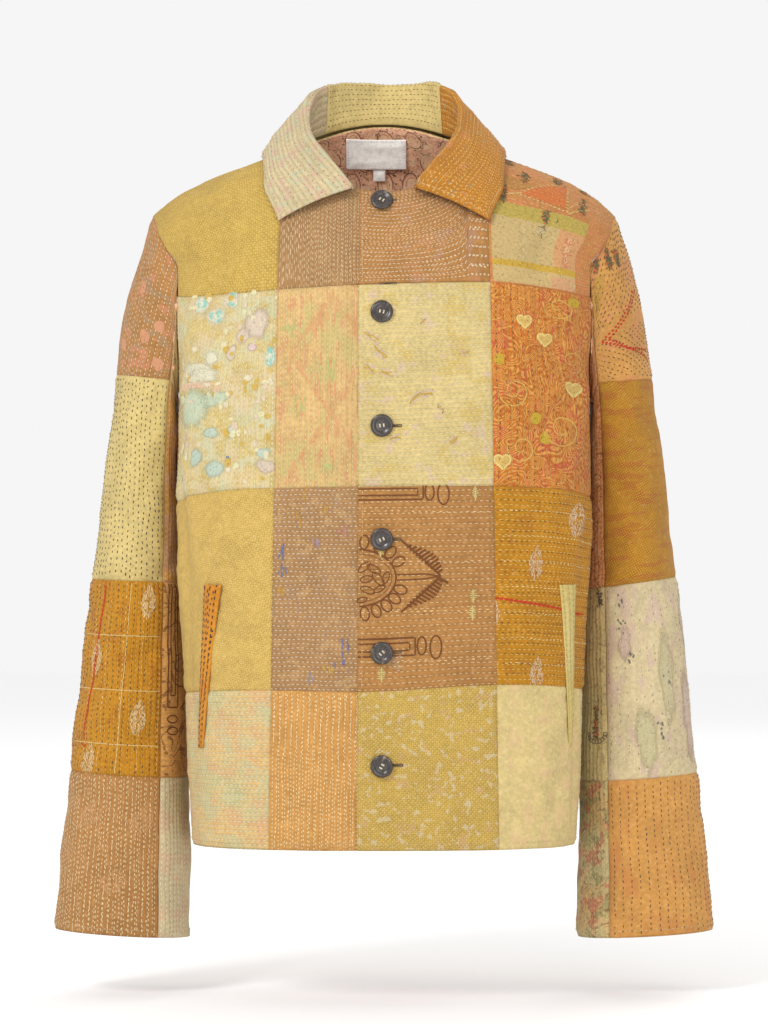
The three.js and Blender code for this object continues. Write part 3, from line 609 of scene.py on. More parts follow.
CREAM = (236, 222, 186)
DARK = (62, 48, 40)
FINE = (1, 1)
FRONT_LOOKS = {
    "front_right_side_1": dict(
        ground=MUSTARD, diamonds=((232, 206, 126), 3.8, 0), wear=0.25),
    "front_right_centre_1": dict(
        ground=TAN, rows=[((222, 194, 152), 90, 5.0, 4.6, 0.85, 2.0)], wear=0.3),
    "front_left_centre_1": dict(
        ground=BISCUIT, rows=[((226, 196, 158), 0, 4.4, 5.0, 0.8, 2.0)],
        smudges=[((190, 150, 140), 22, 0.3, 0.1, 0.35, FINE),
                ((212, 146, 100), 12, 0.35, 0.08, 0.4, FINE)]),
    "front_left_side_1": dict(
        ground=APRICOT, rows=[((222, 176, 104), 0, 4.6, 4.6, 0.6, 2.0)],
        smudges=[((222, 140, 88), 22, 0.5, 0.08, 0.55, FINE), ((190, 146, 70), 12, 0.36, 0.07, 0.5, FINE)]),
    "front_right_side_2": dict(
        ground=STRAW, rows=[((240, 228, 188), 90, 4.6, 4.6, 0.7, 2.4)],
        smudges=[((230, 218, 178), 17, 0.46, 0.1, 0.5, FINE), ((206, 214, 182), 26, 0.42, 0.12, 0.5, FINE),
        ((228, 198, 160), 20, 0.38, 0.12, 0.45, FINE), ((210, 174, 78), 10, 0.36, 0.05, 0.5, FINE)]),
    "front_right_centre_2": dict(
        ground=PEACH, rows=[((240, 216, 170), 90, 4.8, 5.0, 0.7, 2.2)],
        smudges=[((196, 190, 120), 26, 0.42, 0.1, 0.5, FINE),
                ((222, 140, 104), 10, 0.36, 0.04, 0.55, (2.2, 0.5))]),
    "front_left_centre_2": dict(
        ground=BUTTER, rows=[((238, 222, 168), 0, 4.4, 5.0, 0.75, 4.0)],
        smudges=[((222, 190, 176), 16, 0.33, 0.05, 0.5, FINE),
                ((210, 178, 88), 20, 0.36, 0.08, 0.5, FINE)]),
    "front_left_side_2": dict(
        ground=RUST, rows=[((214, 160, 88), 90, 5.2, 4.8, 0.7, 2.0)],
        smudges=[((206, 98, 62), 22, 0.42, 0.05, 0.85, FINE)],
        scrolls=[((232, 172, 84), 34, 26, 0.3, 0.85)]),
    "front_right_side_3": dict(
        ground=HONEY, diamonds=((236, 208, 130), 4.0, 12), wear=0.3),
    "front_right_centre_3": dict(
        ground=TAN, rows=[((228, 206, 178), 0, 4.2, 4.4, 0.75, 3.5)],
        smudges=[((168, 140, 122), 12, 0.34, 0.08, 0.3, (2.5, 0.6)),
                ((208, 166, 110), 12, 0.34, 0.07, 0.5, FINE)]),
    "front_left_centre_3": dict(
        ground=BISCUIT, rows=[((228, 192, 140), 0, 5.2, 5.4, 0.8, 1.6)], wear=0.2),
    "front_left_side_3": dict(
        ground=OCHRE, rows=[((226, 184, 96), 0, 4.6, 4.8, 0.8, 1.6)],
        smudges=[((176, 112, 36), 16, 0.35, 0.07, 0.5, FINE)], wear=0.2),
    "front_right_side_4": dict(
        ground=PEACH, shade=SAGE, rows=[((240, 226, 190), 0, 4.2, 4.8, 0.75, 2.6)],
        smudges=[((226, 168, 124), 15, 0.4, 0.09, 0.5, FINE), ((200, 202, 156), 22, 0.4, 0.12, 0.5, FINE)]),
    "front_right_centre_4": dict(
        ground=ORANGE, rows=[((240, 208, 150), 90, 5.6, 3.8, 0.95, 1.4)], wear=0.25),
    "front_left_centre_4": dict(
        ground=MUSTARD, diamonds=((230, 208, 132), 3.8, 0),
        smudges=[((236, 220, 190), 7, 0.34, 0.04, 0.6, FINE), ((222, 170, 140), 12, 0.3, 0.05, 0.4, FINE)]),
    "front_left_side_4": dict(
        ground=BUTTER,
        smudges=[((232, 190, 146), 15, 0.4, 0.1, 0.45, FINE)]),
}
FRONT_STEP = 2.1
patches = {}
columns = [
    ("front_right_side", -1, -0.5, None),
    ("front_right_centre", -0.5, UNDERLAP_END, lambda share: (CLOTH + 0.9) * smoothstep(share, -0.2,
            -0.13)),
    ("front_left_centre", LAP_EDGE, 0.5, None),
    ("front_left_side", 0.5, 1, None),
]
for row in range(4):
    for order, (column, start, end, lift) in enumerate(columns):
        node = f"{column}_{row + 1}"
        look = FRONT_LOOKS[node]
        upright = any(r[1] == 90 for r in look.get("rows", ()))
        patch = Patch("cloth_" + node, body_surface(FRONT, FRONT_SEAMS, row, start, end, lift), FRONT_STEP,
                      swell=(5, 15) if upright else (15, 5), seed=10 * row + order)
        patches[node] = patch
        material = cloth_material(node, seed=1 + 4 * row + order, **look)
        finish_cloth(patch, node, "front_patches", material)

# ---- Back ----
# Twelve patches in three columns, quilted like the fronts.
BACK_SEAMS = [
    curve((-1, -137.7), (0, -128), (1, -137.7)),
    curve((-1, -331), (0, -322), (1, -326)),
    curve((-1, -511), (0, -503), (1, -508)),
    lambda share: HEM_Z + 0 * share,
]
BACK_COLUMN = 0.4
BACK_STEP = 3.6
BACK_LOOKS = {
    "back_right_1": dict(ground=ORANGE, rows=[(CREAM, 0, 5.0, 5.0, 0.8, 2.0)]),
    "back_centre_1": dict(ground=STRAW, rows=[((196, 130, 80), 90, 5.4, 5.0, 0.8, 2.0)]),
    "back_left_1": dict(ground=TAN, diamonds=((222, 190, 140), 4.2, 0)),
    "back_right_2": dict(ground=BISCUIT, rows=[(CREAM, 90, 5.2, 5.2, 0.8, 2.0)],
        smudges=[((206, 120, 84), 20, 0.4, 0.06, 0.6, FINE)]),
    "back_centre_2": dict(ground=OCHRE, rows=[(DARK, 90, 6.4, 6.0, 0.9, 1.6)],
        scrolls=[((228, 190, 110), 26, 7, 0.16, 0.6)]),
    "back_left_2": dict(ground=STRAW, rows=[((222, 150, 96), 0, 5.0, 5.0, 0.8, 2.4)],
        smudges=[((196, 208, 190), 22, 0.45, 0.06, 0.7, FINE)]),
    "back_right_3": dict(ground=BUTTER, diamonds=((240, 220, 160), 4.0, 8)),
    "back_centre_3": dict(ground=TAN, rows=[(CREAM, 0, 4.8, 4.8, 0.8, 2.6)],
        smudges=[((150, 136, 140), 16, 0.36, 0.06, 0.5, FINE)]),
    "back_left_3": dict(ground=ORANGE, rows=[((240, 208, 150), 90, 5.4, 4.6, 0.9, 1.8)]),
    "back_right_4": dict(ground=MUSTARD, rows=[(DARK, 90, 6.6, 6.0, 0.85, 1.6)]),
    "back_centre_4": dict(ground=PEACH, rows=[(CREAM, 0, 4.6, 4.8, 0.8, 2.0)],
        smudges=[((222, 140, 104), 16, 0.38, 0.05, 0.6, FINE)]),
    "back_left_4": dict(ground=SAGE, diamonds=((228, 206, 136), 4.2, 0)),
}
for row in range(4):
    for order, (side, start, end) in enumerate([
            ("right", -1, -BACK_COLUMN), ("centre", -BACK_COLUMN, BACK_COLUMN), ("left", BACK_COLUMN, 1)]):
        node = f"back_{side}_{row + 1}"
        patch = Patch("cloth_" + node, body_surface(BACK, BACK_SEAMS, row, start, end), BACK_STEP,
                      seed=60 + 10 * row + order)
        patches[node] = patch
        finish_cloth(patch, node, "back_patches", cloth_material(node, seed=20 + 3 * row + order,
                **BACK_LOOKS[node]))

# ---- Sleeves ----
# Straight drop-shoulder tubes in four rows of patches, hanging against the sides, with wide bare cuffs.
sleeve_outer_x = curve((-745, 316.5), (-587, 301), (-398, 280.5), (-273, 265), (-209, 257), (-140, 246),
        (-106, 236), (-60, 221.5))
sleeve_inner_x = curve((-745, 185), (-587, 186.5), (-398, 188), (-300, 190), (-225, 196), (-60, 200))
sleeve_y = curve((-745, 36), (-587, 42), (-398, 48), (-225, 36), (-60, 14))
sleeve_half_depth = curve((-745, 46), (-587, 53), (-398, 61), (-225, 60), (-60, 40))
SLEEVE_TO_BODY = 1.5
SLEEVE_PRESS = 3
UNDERARM_STEP = 2.6
CAP_END_Z = -325
SLEEVE_FOLDS = [
    (88, -205, 26, 16, 0.9, 3.8), (80, -268, 30, 16, 0.7, 3.4), (70, -430, 34, 18, -0.5, 2.8),
    (-60, -400, 36, 22, 0.4, 3.0), (-80, -240, 30, 18, -0.7, 3.5), (95, -560, 30, 20, 0.4, 2.4),
    (92, -320, 24, 15, 0.8, 2.6), (50, -500, 40, 14, -0.35, 1.8), (60, -640, 34, 40, 0.2, 1.8),
    (30, -350, 40, 14, 0.3, 1.6), (100, -480, 30, 11, 0.5, 2.4), (85, -620, 42, 10, -0.3, 1.9),
    (40, -560, 40, 12, 0.4, 1.9), (75, -350, 30, 9, -0.6, 2.2), (60, -240, 26, 11, 0.8, 2.4),
    (-40, -300, 40, 12, -0.5, 2.4), (-90, -480, 34, 14, 0.5, 2.4), (-70, -600, 36, 14, -0.4, 2.0),
    (100, -690, 42, 15, 0.2, 1.7), (120, -400, 26, 9, 0.6, 2.0), (20, -440, 30, 10, -0.4, 1.7),
    (0, -250, 30, 12, 0.5, 1.8), (10, -620, 34, 11, 0.4, 1.7),
]
SLEEVE_SEAMS = {
    "right": [(-209, -218), (-404, -407), (-587, -594), (-738, -746)],
    "left": [(-213, -220), (-402, -414), (-589, -597), (-739, -746)],
}
UNDERARM_DIP = 16
ARMHOLE_SEAM_TURN = 124
CAP_BACK_TURN = -106


def body_side_x(y, z):
    depth = np.where(y < SIDE_Y, FRONT["depth"](z), BACK["depth"](z))
    inward = np.abs((y - SIDE_Y) / (depth - SIDE_Y))
    return np.where(inward < 1, side_x(z) * np.maximum(1 - inward ** SQUARENESS, 0) ** (1 / SQUARENESS), 0)


def left_sleeve_point(turn, fall, hem):
    """The left sleeve's outer face: turn 0 is outward, 90 forward and 180 against the body."""
    wrapped = np.abs((turn + 180) % 360 - 180)
    forward = np.sin(np.radians(turn)) >= 0
    level = SHOULDER_LEVEL * (1 - wrapped / 180)
    start = np.where(forward[..., None], body_point(FRONT, 1 + 0 * turn, level),
            body_point(BACK, 1 + 0 * turn, level))
    grown = smoothstep(fall * np.abs(hem - start[..., 2]), 0, 18)
    start_x = start[..., 0] + UNDERARM_STEP * smoothstep(wrapped, 118, 165) * grown
    z = lerp(start[..., 2], hem, fall)
    cosine, sine = np.cos(np.radians(turn)), np.sin(np.radians(turn))

    def ring_x(height):
        return lerp(sleeve_outer_x(height), sleeve_inner_x(height), (1 - cosine) / 2)

    def ring_y(height):
        return sleeve_y(height) - sleeve_half_depth(height) * sine

    fade = smoothstep(z, CAP_END_Z, start[..., 2])
    pinch = 0
    for at, height, wide, tall, slant, deep in SLEEVE_FOLDS:
        across = ((turn - at + 180) % 360 - 180) / wide
        upward = (z - height - slant * across * wide) / tall
        pinch = pinch + deep * np.exp(-(across ** 2) - upward ** 2)
    pinch = pinch * (1 - fade)
    x = ring_x(z) + (start_x - ring_x(start[..., 2])) * fade - pinch * cosine
    y = ring_y(z) + (start[..., 1] - ring_y(start[..., 2])) * fade + pinch * sine
    inside = body_side_x(y, z) + SLEEVE_TO_BODY - x
    pushed = (inside + np.hypot(inside, SLEEVE_PRESS)) / 2
    return np.stack([x + pushed * smoothstep(wrapped, 80, 125) * grown, y, z], axis=-1)


def sleeve_seam(side, row, turn):
    outside, inside = SLEEVE_SEAMS[side][row]
    wrapped = np.abs((turn + 180) % 360 - 180)
    dip = UNDERARM_DIP * smoothstep(wrapped, 118, 180) if row == 0 else 0
    return lerp(outside, inside, (1 - np.cos(np.radians(turn))) / 2) - dip


def sleeve_surface(side, row, first, last):
    sign = 1 if side == "left" else -1

    def surface(u, v):
        u, v = np.broadcast_arrays(np.asarray(u, float), np.asarray(v, float))
        turn = lerp(last, first, u) if sign > 0 else lerp(first, last, u)
        fall = 1 - v
        below = sleeve_seam(side, row, turn)
        if row == 0:
            point = left_sleeve_point(turn, fall, below)
        else:
            point = left_sleeve_point(turn, 1 + 0 * fall,
                    lerp(sleeve_seam(side, row - 1, turn), below, fall))
        point[..., 0] *= sign
        return point
    return surface


SLEEVE_LOOKS = {
    "sleeve_right_outer_1": dict(
        ground=BISCUIT, rows=[((226, 202, 166), 84, 5.0, 5.0, 0.8, 2.2)],
        smudges=[((214, 140, 104), 13, 0.36, 0.05, 0.7, FINE),
                ((168, 146, 118), 15, 0.36, 0.06, 0.45, FINE)]),
    "sleeve_right_outer_2": dict(ground=STRAW, wear=0.2),
    "sleeve_right_outer_3": dict(
        ground=OCHRE, rows=[((226, 176, 84), 90, 4.6, 4.6, 0.6, 1.6)],
        smudges=[((176, 106, 30), 20, 0.36, 0.08, 0.5, FINE)], wear=0.15),
    "sleeve_right_outer_4": dict(
        ground=BISCUIT, rows=[((232, 206, 158), 90, 5.6, 5.0, 0.85, 1.6)]),
    "sleeve_right_under_1": dict(ground=PEACH, rows=[(CREAM, 90, 5, 5, 0.8, 2)]),
    "sleeve_right_under_2": dict(
        ground=ORANGE, rows=[((232, 200, 150), 90, 5, 5, 0.8, 2)],
        smudges=[((206, 160, 136), 20, 0.46, 0.08, 0.6, FINE)]),
    "sleeve_right_under_3": dict(
        ground=ORANGE, rows=[((220, 170, 110), 0, 5, 5, 0.8, 2)],
        scrolls=[((104, 60, 30), 22, 5, 0.16, 0.7)]),
    "sleeve_right_under_4": dict(
        ground=IVORY, rows=[((240, 232, 200), 90, 4.6, 5, 0.8, 3)],
        smudges=[((222, 176, 140), 18, 0.4, 0.08, 0.5, FINE)]),
    "sleeve_left_outer_1": dict(
        ground=ORANGE, wear=0.2,
        smudges=[((222, 146, 100), 22, 0.36, 0.08, 0.6, FINE)]),
    "sleeve_left_outer_2": dict(
        ground=OCHRE, diamonds=((232, 190, 98), 3.2, 20),
        smudges=[((186, 90, 40), 12, 0.4, 0.05, 0.6, (0.35, 2.2))]),
    "sleeve_left_outer_3": dict(
        ground=IVORY,
        smudges=[((214, 178, 170), 22, 0.4, 0.08, 0.5, (1.8, 0.6))]),
    "sleeve_left_outer_4": dict(ground=ORANGE, wear=0.2,
        smudges=[((206, 132, 76), 24, 0.35, 0.1, 0.5, (2, 0.5))]),
    "sleeve_left_under_1": dict(ground=APRICOT, rows=[(CREAM, 90, 5, 5, 0.8, 2)]),
    "sleeve_left_under_2": dict(
        ground=APRICOT, rows=[((220, 176, 130), 90, 5, 5, 0.8, 2)],
        scrolls=[((112, 56, 46), 14, 6, 0.16, 0.75), ((226, 178, 130), 20, 5, 0.14, 0.6)]),
    "sleeve_left_under_3": dict(
        ground=BUTTER, rows=[((236, 206, 160), 90, 5, 5, 0.8, 2)],
        scrolls=[((120, 104, 84), 15, 5, 0.13, 0.5)]),
    "sleeve_left_under_4": dict(
        ground=PEACH, shade=SAGE, rows=[((232, 200, 150), 90, 5, 5, 0.8, 2)],
        smudges=[((210, 116, 92), 14, 0.42, 0.05, 0.7, FINE), ((142, 146, 92), 12, 0.36, 0.05, 0.6, FINE)],
        scrolls=[((120, 84, 64), 12, 5, 0.13, 0.6)]),
}
SLEEVE_STEP = 2.5
UNDER_STEP = 3.8
for side in ("right", "left"):
    for row in range(4):
        for column, first, last, step in [
                ("outer", CAP_BACK_TURN, ARMHOLE_SEAM_TURN, SLEEVE_STEP),
                ("under", ARMHOLE_SEAM_TURN, 360 + CAP_BACK_TURN, UNDER_STEP)]:
            node = f"sleeve_{side}_{column}_{row + 1}"
            number = 110 + 10 * row + len(patches)
            patch = Patch("cloth_" + node, sleeve_surface(side, row, first, last), step, swell=(6, 14),
                    seed=number)
            patches[node] = patch
            finish_cloth(patch, node, "sleeve_patches",
                         cloth_material(node, seed=number * 0.31, **SLEEVE_LOOKS[node]))

# ---- Collar ----
# One turned-down strip in three patches of quilted cotton, rolled over its stand.
NECK_RAISE = 2.6
COLLAR_END = 158
COLLAR_SEAM = 48
ROLL_RADIUS = 3.5
COLLAR_LIFT = 7
STAND_SHARE = 0.3
ROLL_SHARE = 0.4
LEAF_BELLY = 9
roll_x = curve((0, 0), (30, 38), (50, 54), (70, 65), (90, 70), (110, 68), (130, 57), (145, 43), (158, 28))
roll_y = curve((0, 70), (30, 57), (50, 42), (70, 25), (90, 6), (110, -22), (130, -50), (145, -71),
        (158, -86))
roll_z = curve((0, 74), (30, 74), (50, 70), (70, 61), (90, 46), (110, 25), (130, 3), (145, -15), (158, -35))
edge_x = curve((0, 0), (15, 30), (30, 57), (45, 79), (60, 95), (75, 104), (90, 107), (120, 107), (158, 98))
edge_degrees = curve((0, 128), (30, 126), (45, 121), (60, 112), (75, 101), (90, 88), (105, 68), (120, 59),
        (140, 50), (158, 42))


def over_shoulder(x, degrees):
    """Where an x and an angle over the shoulder, 0 to 90 in front and on to 180 behind, meet the body."""
    level = CHEST_ARC * np.radians(np.where(degrees <= 90, degrees, 180 - degrees))
    column = column_x(level)
    share = np.where(np.abs(x) <= column, x / (2 * column), np.sign(x) * (0.5 + (np.abs(x) - column) / 230))
    before = (degrees <= 90)[..., None]
    return np.where(before, body_point(FRONT, share, level), body_point(BACK, share, level))


def collar_point(degrees, part):
    around = np.abs(degrees)
    turn = np.radians(around)
    outward = np.stack([np.sin(turn), np.cos(turn), 0 * turn], axis=-1)
    up = np.array([0, 0, 1.0])
    neck_x = NECK_HALF * np.sin(turn)
    necks = []
    for face in (FRONT, BACK):
        level = level_at(face, neck_x, face["neck"](neck_x))
        necks.append(body_point(face, neck_x / (2 * column_x(level)), level))
    neck = np.where((around > 90)[..., None], *necks) + up * NECK_RAISE - 0.4 * outward
    inside = np.stack([roll_x(around), roll_y(around), roll_z(around) - ROLL_RADIUS], axis=-1)
    stand = lerp(neck, inside, (part / STAND_SHARE)[..., None])
    bend = math.pi * np.clip((part - STAND_SHARE) / (ROLL_SHARE - STAND_SHARE), 0, 1)[..., None]
    roll = inside + outward * ROLL_RADIUS * (1 - np.cos(bend)) + up * ROLL_RADIUS * np.sin(bend)
    t = np.clip((part - ROLL_SHARE) / (1 - ROLL_SHARE), 0, 1.05)[..., None]
    start = inside + outward * 2 * ROLL_RADIUS
    lean = 0.75 * np.where(around > 90, -1, 1) * np.abs(np.cos(turn))
    edge = over_shoulder(edge_x(around), edge_degrees(around))
    edge = edge + np.stack([0 * turn, lean, 0.66 + 0 * turn], axis=-1) * COLLAR_LIFT
    belly = lerp(start, edge, 0.5) + outward * LEAF_BELLY * 0.7 + up * LEAF_BELLY * 0.5
    leaf = start * (1 - t) ** 2 + belly * 2 * t * (1 - t) + edge * t ** 2
    point = np.where((part < STAND_SHARE)[..., None], stand,
            np.where((part < ROLL_SHARE)[..., None], roll, leaf))
    point[..., 0] *= np.sign(degrees)
    return point


def collar_surface(start, end):
    def surface(u, v):
        u, v = np.broadcast_arrays(np.asarray(u, float), np.asarray(v, float))
        degrees = lerp(start, end, u)
        return collar_point(np.where(degrees == 0, 1e-6, degrees), v)
    return surface


COLLAR_LOOKS = {
    "collar_right": dict(
        ground=IVORY, rows=[((204, 178, 128), 0, 5.2, 4.6, 0.8, 1.6)],
        smudges=[((200, 204, 170), 12, 0.4, 0.05, 0.6, FINE), ((222, 178, 160), 12, 0.4, 0.05, 0.6, FINE),
        ((150, 84, 62), 2.2, 0.12, 0.05, 0.7, FINE)], wear=0.2),
    "collar_back": dict(
        ground=STRAW,
        smudges=[((204, 96, 56), 8, 0.14, 0.03, 0.8, FINE)], wear=0.2),
    "collar_left": dict(
        ground=MARIGOLD, rows=[((228, 176, 88), 0, 4.2, 4.4, 0.8, 2.0)],
        smudges=[((150, 150, 130), 8, 0.24, 0.04, 0.7, FINE),
                ((222, 140, 100), 10, 0.28, 0.05, 0.6, FINE)]),
}
COLLAR_STEP = 2.0
for node, start, end in [
        ("collar_right", -COLLAR_END, -COLLAR_SEAM), ("collar_back", -COLLAR_SEAM, COLLAR_SEAM),
        ("collar_left", COLLAR_SEAM, COLLAR_END)]:
    number = 170 + len(patches)
    patch = Patch("cloth_" + node, collar_surface(start, end), COLLAR_STEP, swell=(14, 5), seed=number,
            dip=0.7)
    patches[node] = patch
    material = cloth_material(node, seed=number * 0.17, **COLLAR_LOOKS[node])
    finish_cloth(patch, node, "collar_cloth", material, inside=material)

# ---- Pocket welts ----
# Narrow slanted strips of quilted cotton sewn over the pocket openings on the side patches.
WELT_TOP_LEVEL = -183
WELT_BOTTOM_LEVEL = -335
WELTS = {
    "right": dict(top=(-0.73, -0.66), bottom=(-0.81, -0.773), look=dict(
        ground=(222, 150, 48), shade=(212, 136, 40), rows=[(DARK, 90, 5.2, 6.0, 0.9, 1.0)], wear=0.15)),
    "left": dict(top=(0.716, 0.808), bottom=(0.81, 0.845), look=dict(
        ground=(228, 208, 136), shade=(220, 196, 120), rows=[((196, 166, 96), 90, 5.0, 5.0, 0.8, 1.0)],
        wear=0.15)),
}
for side, welt in WELTS.items():
    def surface(u, v, top=welt["top"], bottom=welt["bottom"]):
        share = lerp(lerp(bottom[0], bottom[1], u), lerp(top[0], top[1], u), v)
        point = body_point(FRONT, share, lerp(WELT_BOTTOM_LEVEL, WELT_TOP_LEVEL, v))
        return point + np.stack([0.9 * np.sign(share), -2.4 + 0 * share, 0 * share], axis=-1)
    patch = Patch("cloth_pocket_welt_" + side, surface, 1.5, swell=(6, 9), swell_depth=0.25, seed=190,
            dip=0.9)
    patches["pocket_welt_" + side] = patch
    material = cloth_material("pocket_welt_" + side, seed=3.3, **welt["look"])
    finish_cloth(patch, "pocket_welt_" + side, "welt_cloth", material, inside=material)

# ---- Bold running stitches ----
# Thick cotton thread taken through the cloth in rows, proud of the face, each stitch dipping at its ends.
thread_material, tree, shader = new_material("cotton_thread")
thread_colour = wire(tree, "Attribute", attribute_name="dyed").outputs["Color"]
twist = wire(tree, "TexNoise", {
    "Vector": wire(tree, "TexCoord").outputs["Object"], "Scale": 900, "Detail": 1.0}).outputs[0]
twisted = wire(tree, "VectorMath", {0: thread_colour, 3: ramp(tree, twist, 0.3, 0.7, 0.75, 1.15)},
               operation="SCALE").outputs[0]
tree.links.new(twisted, shader.inputs["Base Color"])
tree.links.new(wire(tree, "Bump", {"Strength": 0.4, "Distance": 0.0003, "Height": twist}).outputs[0],
               shader.inputs["Normal"])
shader.inputs["Roughness"].default_value = 0.7


def coloured_mesh(name, bm, points, colours, material, slot):
    """Makes the finished object of a bmesh whose vertices lie at points, dyed vertex by vertex."""
    mesh = bpy.data.meshes.new(name)
    bm.to_mesh(mesh)
    bm.free()
    mesh.vertices.foreach_set("co", np.asarray(points).ravel())
    colours = np.array(colours, float)
    cover = mesh.attributes.new("cover", "FLOAT", "POINT")
    cover.data.foreach_set("value", colours[:, 3].copy())
    colours[:, 3] = 1
    dyed = mesh.attributes.new("dyed", "FLOAT_COLOR", "POINT")
    dyed.data.foreach_set("color", colours.ravel())
    mesh.polygons.foreach_set("use_smooth", [True] * len(mesh.polygons))
    mesh.materials.append(material)
    mesh.update()
    piece = placed_object(name, mesh)
    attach(piece, "root")
    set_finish(piece, slot)
    return piece


def cut_ribbon(bm, columns, rows, each):
    """A grid of columns by rows squares cut into lengths of each - 1 squares, and where its corners lie."""
    made = bmesh.ops.create_grid(bm, x_segments=columns, y_segments=rows, size=0.5)["verts"]
    at = np.array([v.co[:2] for v in made])
    faces = {f for v in made for f in v.link_faces}
    between = [f for f in faces
            if round((f.calc_center_median().x + 0.5) * columns - 0.5) % each == each - 1]
    bmesh.ops.delete(bm, geom=between, context="FACES")
    return at


def sew(name, patch, slot, middles, turns, lengths, widths, colours):
    """Sews one stitch at each middle, in millimetres on the patch: a ribbon cut into short arched lengths."""
    count = len(middles)
    bm = bmesh.new()
    columns = 3 * count - 1
    at = cut_ribbon(bm, columns, 2, 3)
    column = np.round((at[:, 0] + 0.5) * columns).astype(int)
    stitch, along = column // 3, column % 3 - 1
    side = np.round(at[:, 1] * 2)
    ahead = along * lengths[stitch] / 2
    aside = side * widths[stitch] / 2
    cosine, sine = np.cos(turns[stitch]), np.sin(turns[stitch])
    x = middles[stitch, 0] + ahead * cosine - aside * sine
    y = middles[stitch, 1] + ahead * sine + aside * cosine
    proud = STITCH_RISE - STITCH_RISE * np.abs(along) - 0.3 * np.abs(side)
    points = patch.laid(x, y, proud)
    return coloured_mesh(name, bm, points, colours[stitch], thread_material, slot)


PART_OF_PATCH = {"top": (0.42, 1), "bottom": (0, 0.38), None: (0, 1)}


def stitch_rows(patch, seed, thread, turn, gap, pitch, length, width, wander, skip=0, margin=3,
        region=None):
    """Fills a patch, or its top or bottom part, with rows of running stitch."""
    random = np.random.default_rng(seed)
    left, right = 0, patch.width
    bottom, top = (share * patch.height for share in PART_OF_PATCH[region])
    turned = math.radians(turn)
    reach = math.hypot(right - left, top - bottom) / 2
    rows = np.arange(-reach, reach, gap)
    middles = []
    for number, row in enumerate(rows):
        ahead = np.arange(-reach, reach, pitch) + random.uniform(0, pitch)
        ahead = ahead + random.normal(0, pitch * 0.07, ahead.size)
        drift = wander * soft_noise(ahead / 28, 0 * ahead + number * 0.37, seed)
        aside = row + drift + random.normal(0, 0.16, ahead.size)
        middles.append(np.stack([ahead * math.cos(turned) - aside * math.sin(turned),
                ahead * math.sin(turned) + aside * math.cos(turned)], axis=-1))
    middles = np.concatenate(middles) + [(left + right) / 2, (bottom + top) / 2]
    keep = (middles[:, 0] > left + margin) & (middles[:, 0] < right - margin)
    keep &= (middles[:, 1] > bottom + margin) & (middles[:, 1] < top - margin)
    keep &= random.random(len(middles)) >= skip
    middles = middles[keep]
    count = len(middles)
    turns = turned + random.normal(0, 0.1, count)
    lengths = length * random.uniform(0.75, 1.2, count)
    widths = width * random.uniform(0.85, 1.15, count)
    colours = np.array(dye(*thread))[None, :] * random.uniform(0.82, 1.15, (count, 1))
    colours[:, 3] = 1
    return middles, turns, lengths, widths, colours


BLACK = (52, 44, 40)
PALE_THREAD = (238, 216, 172)
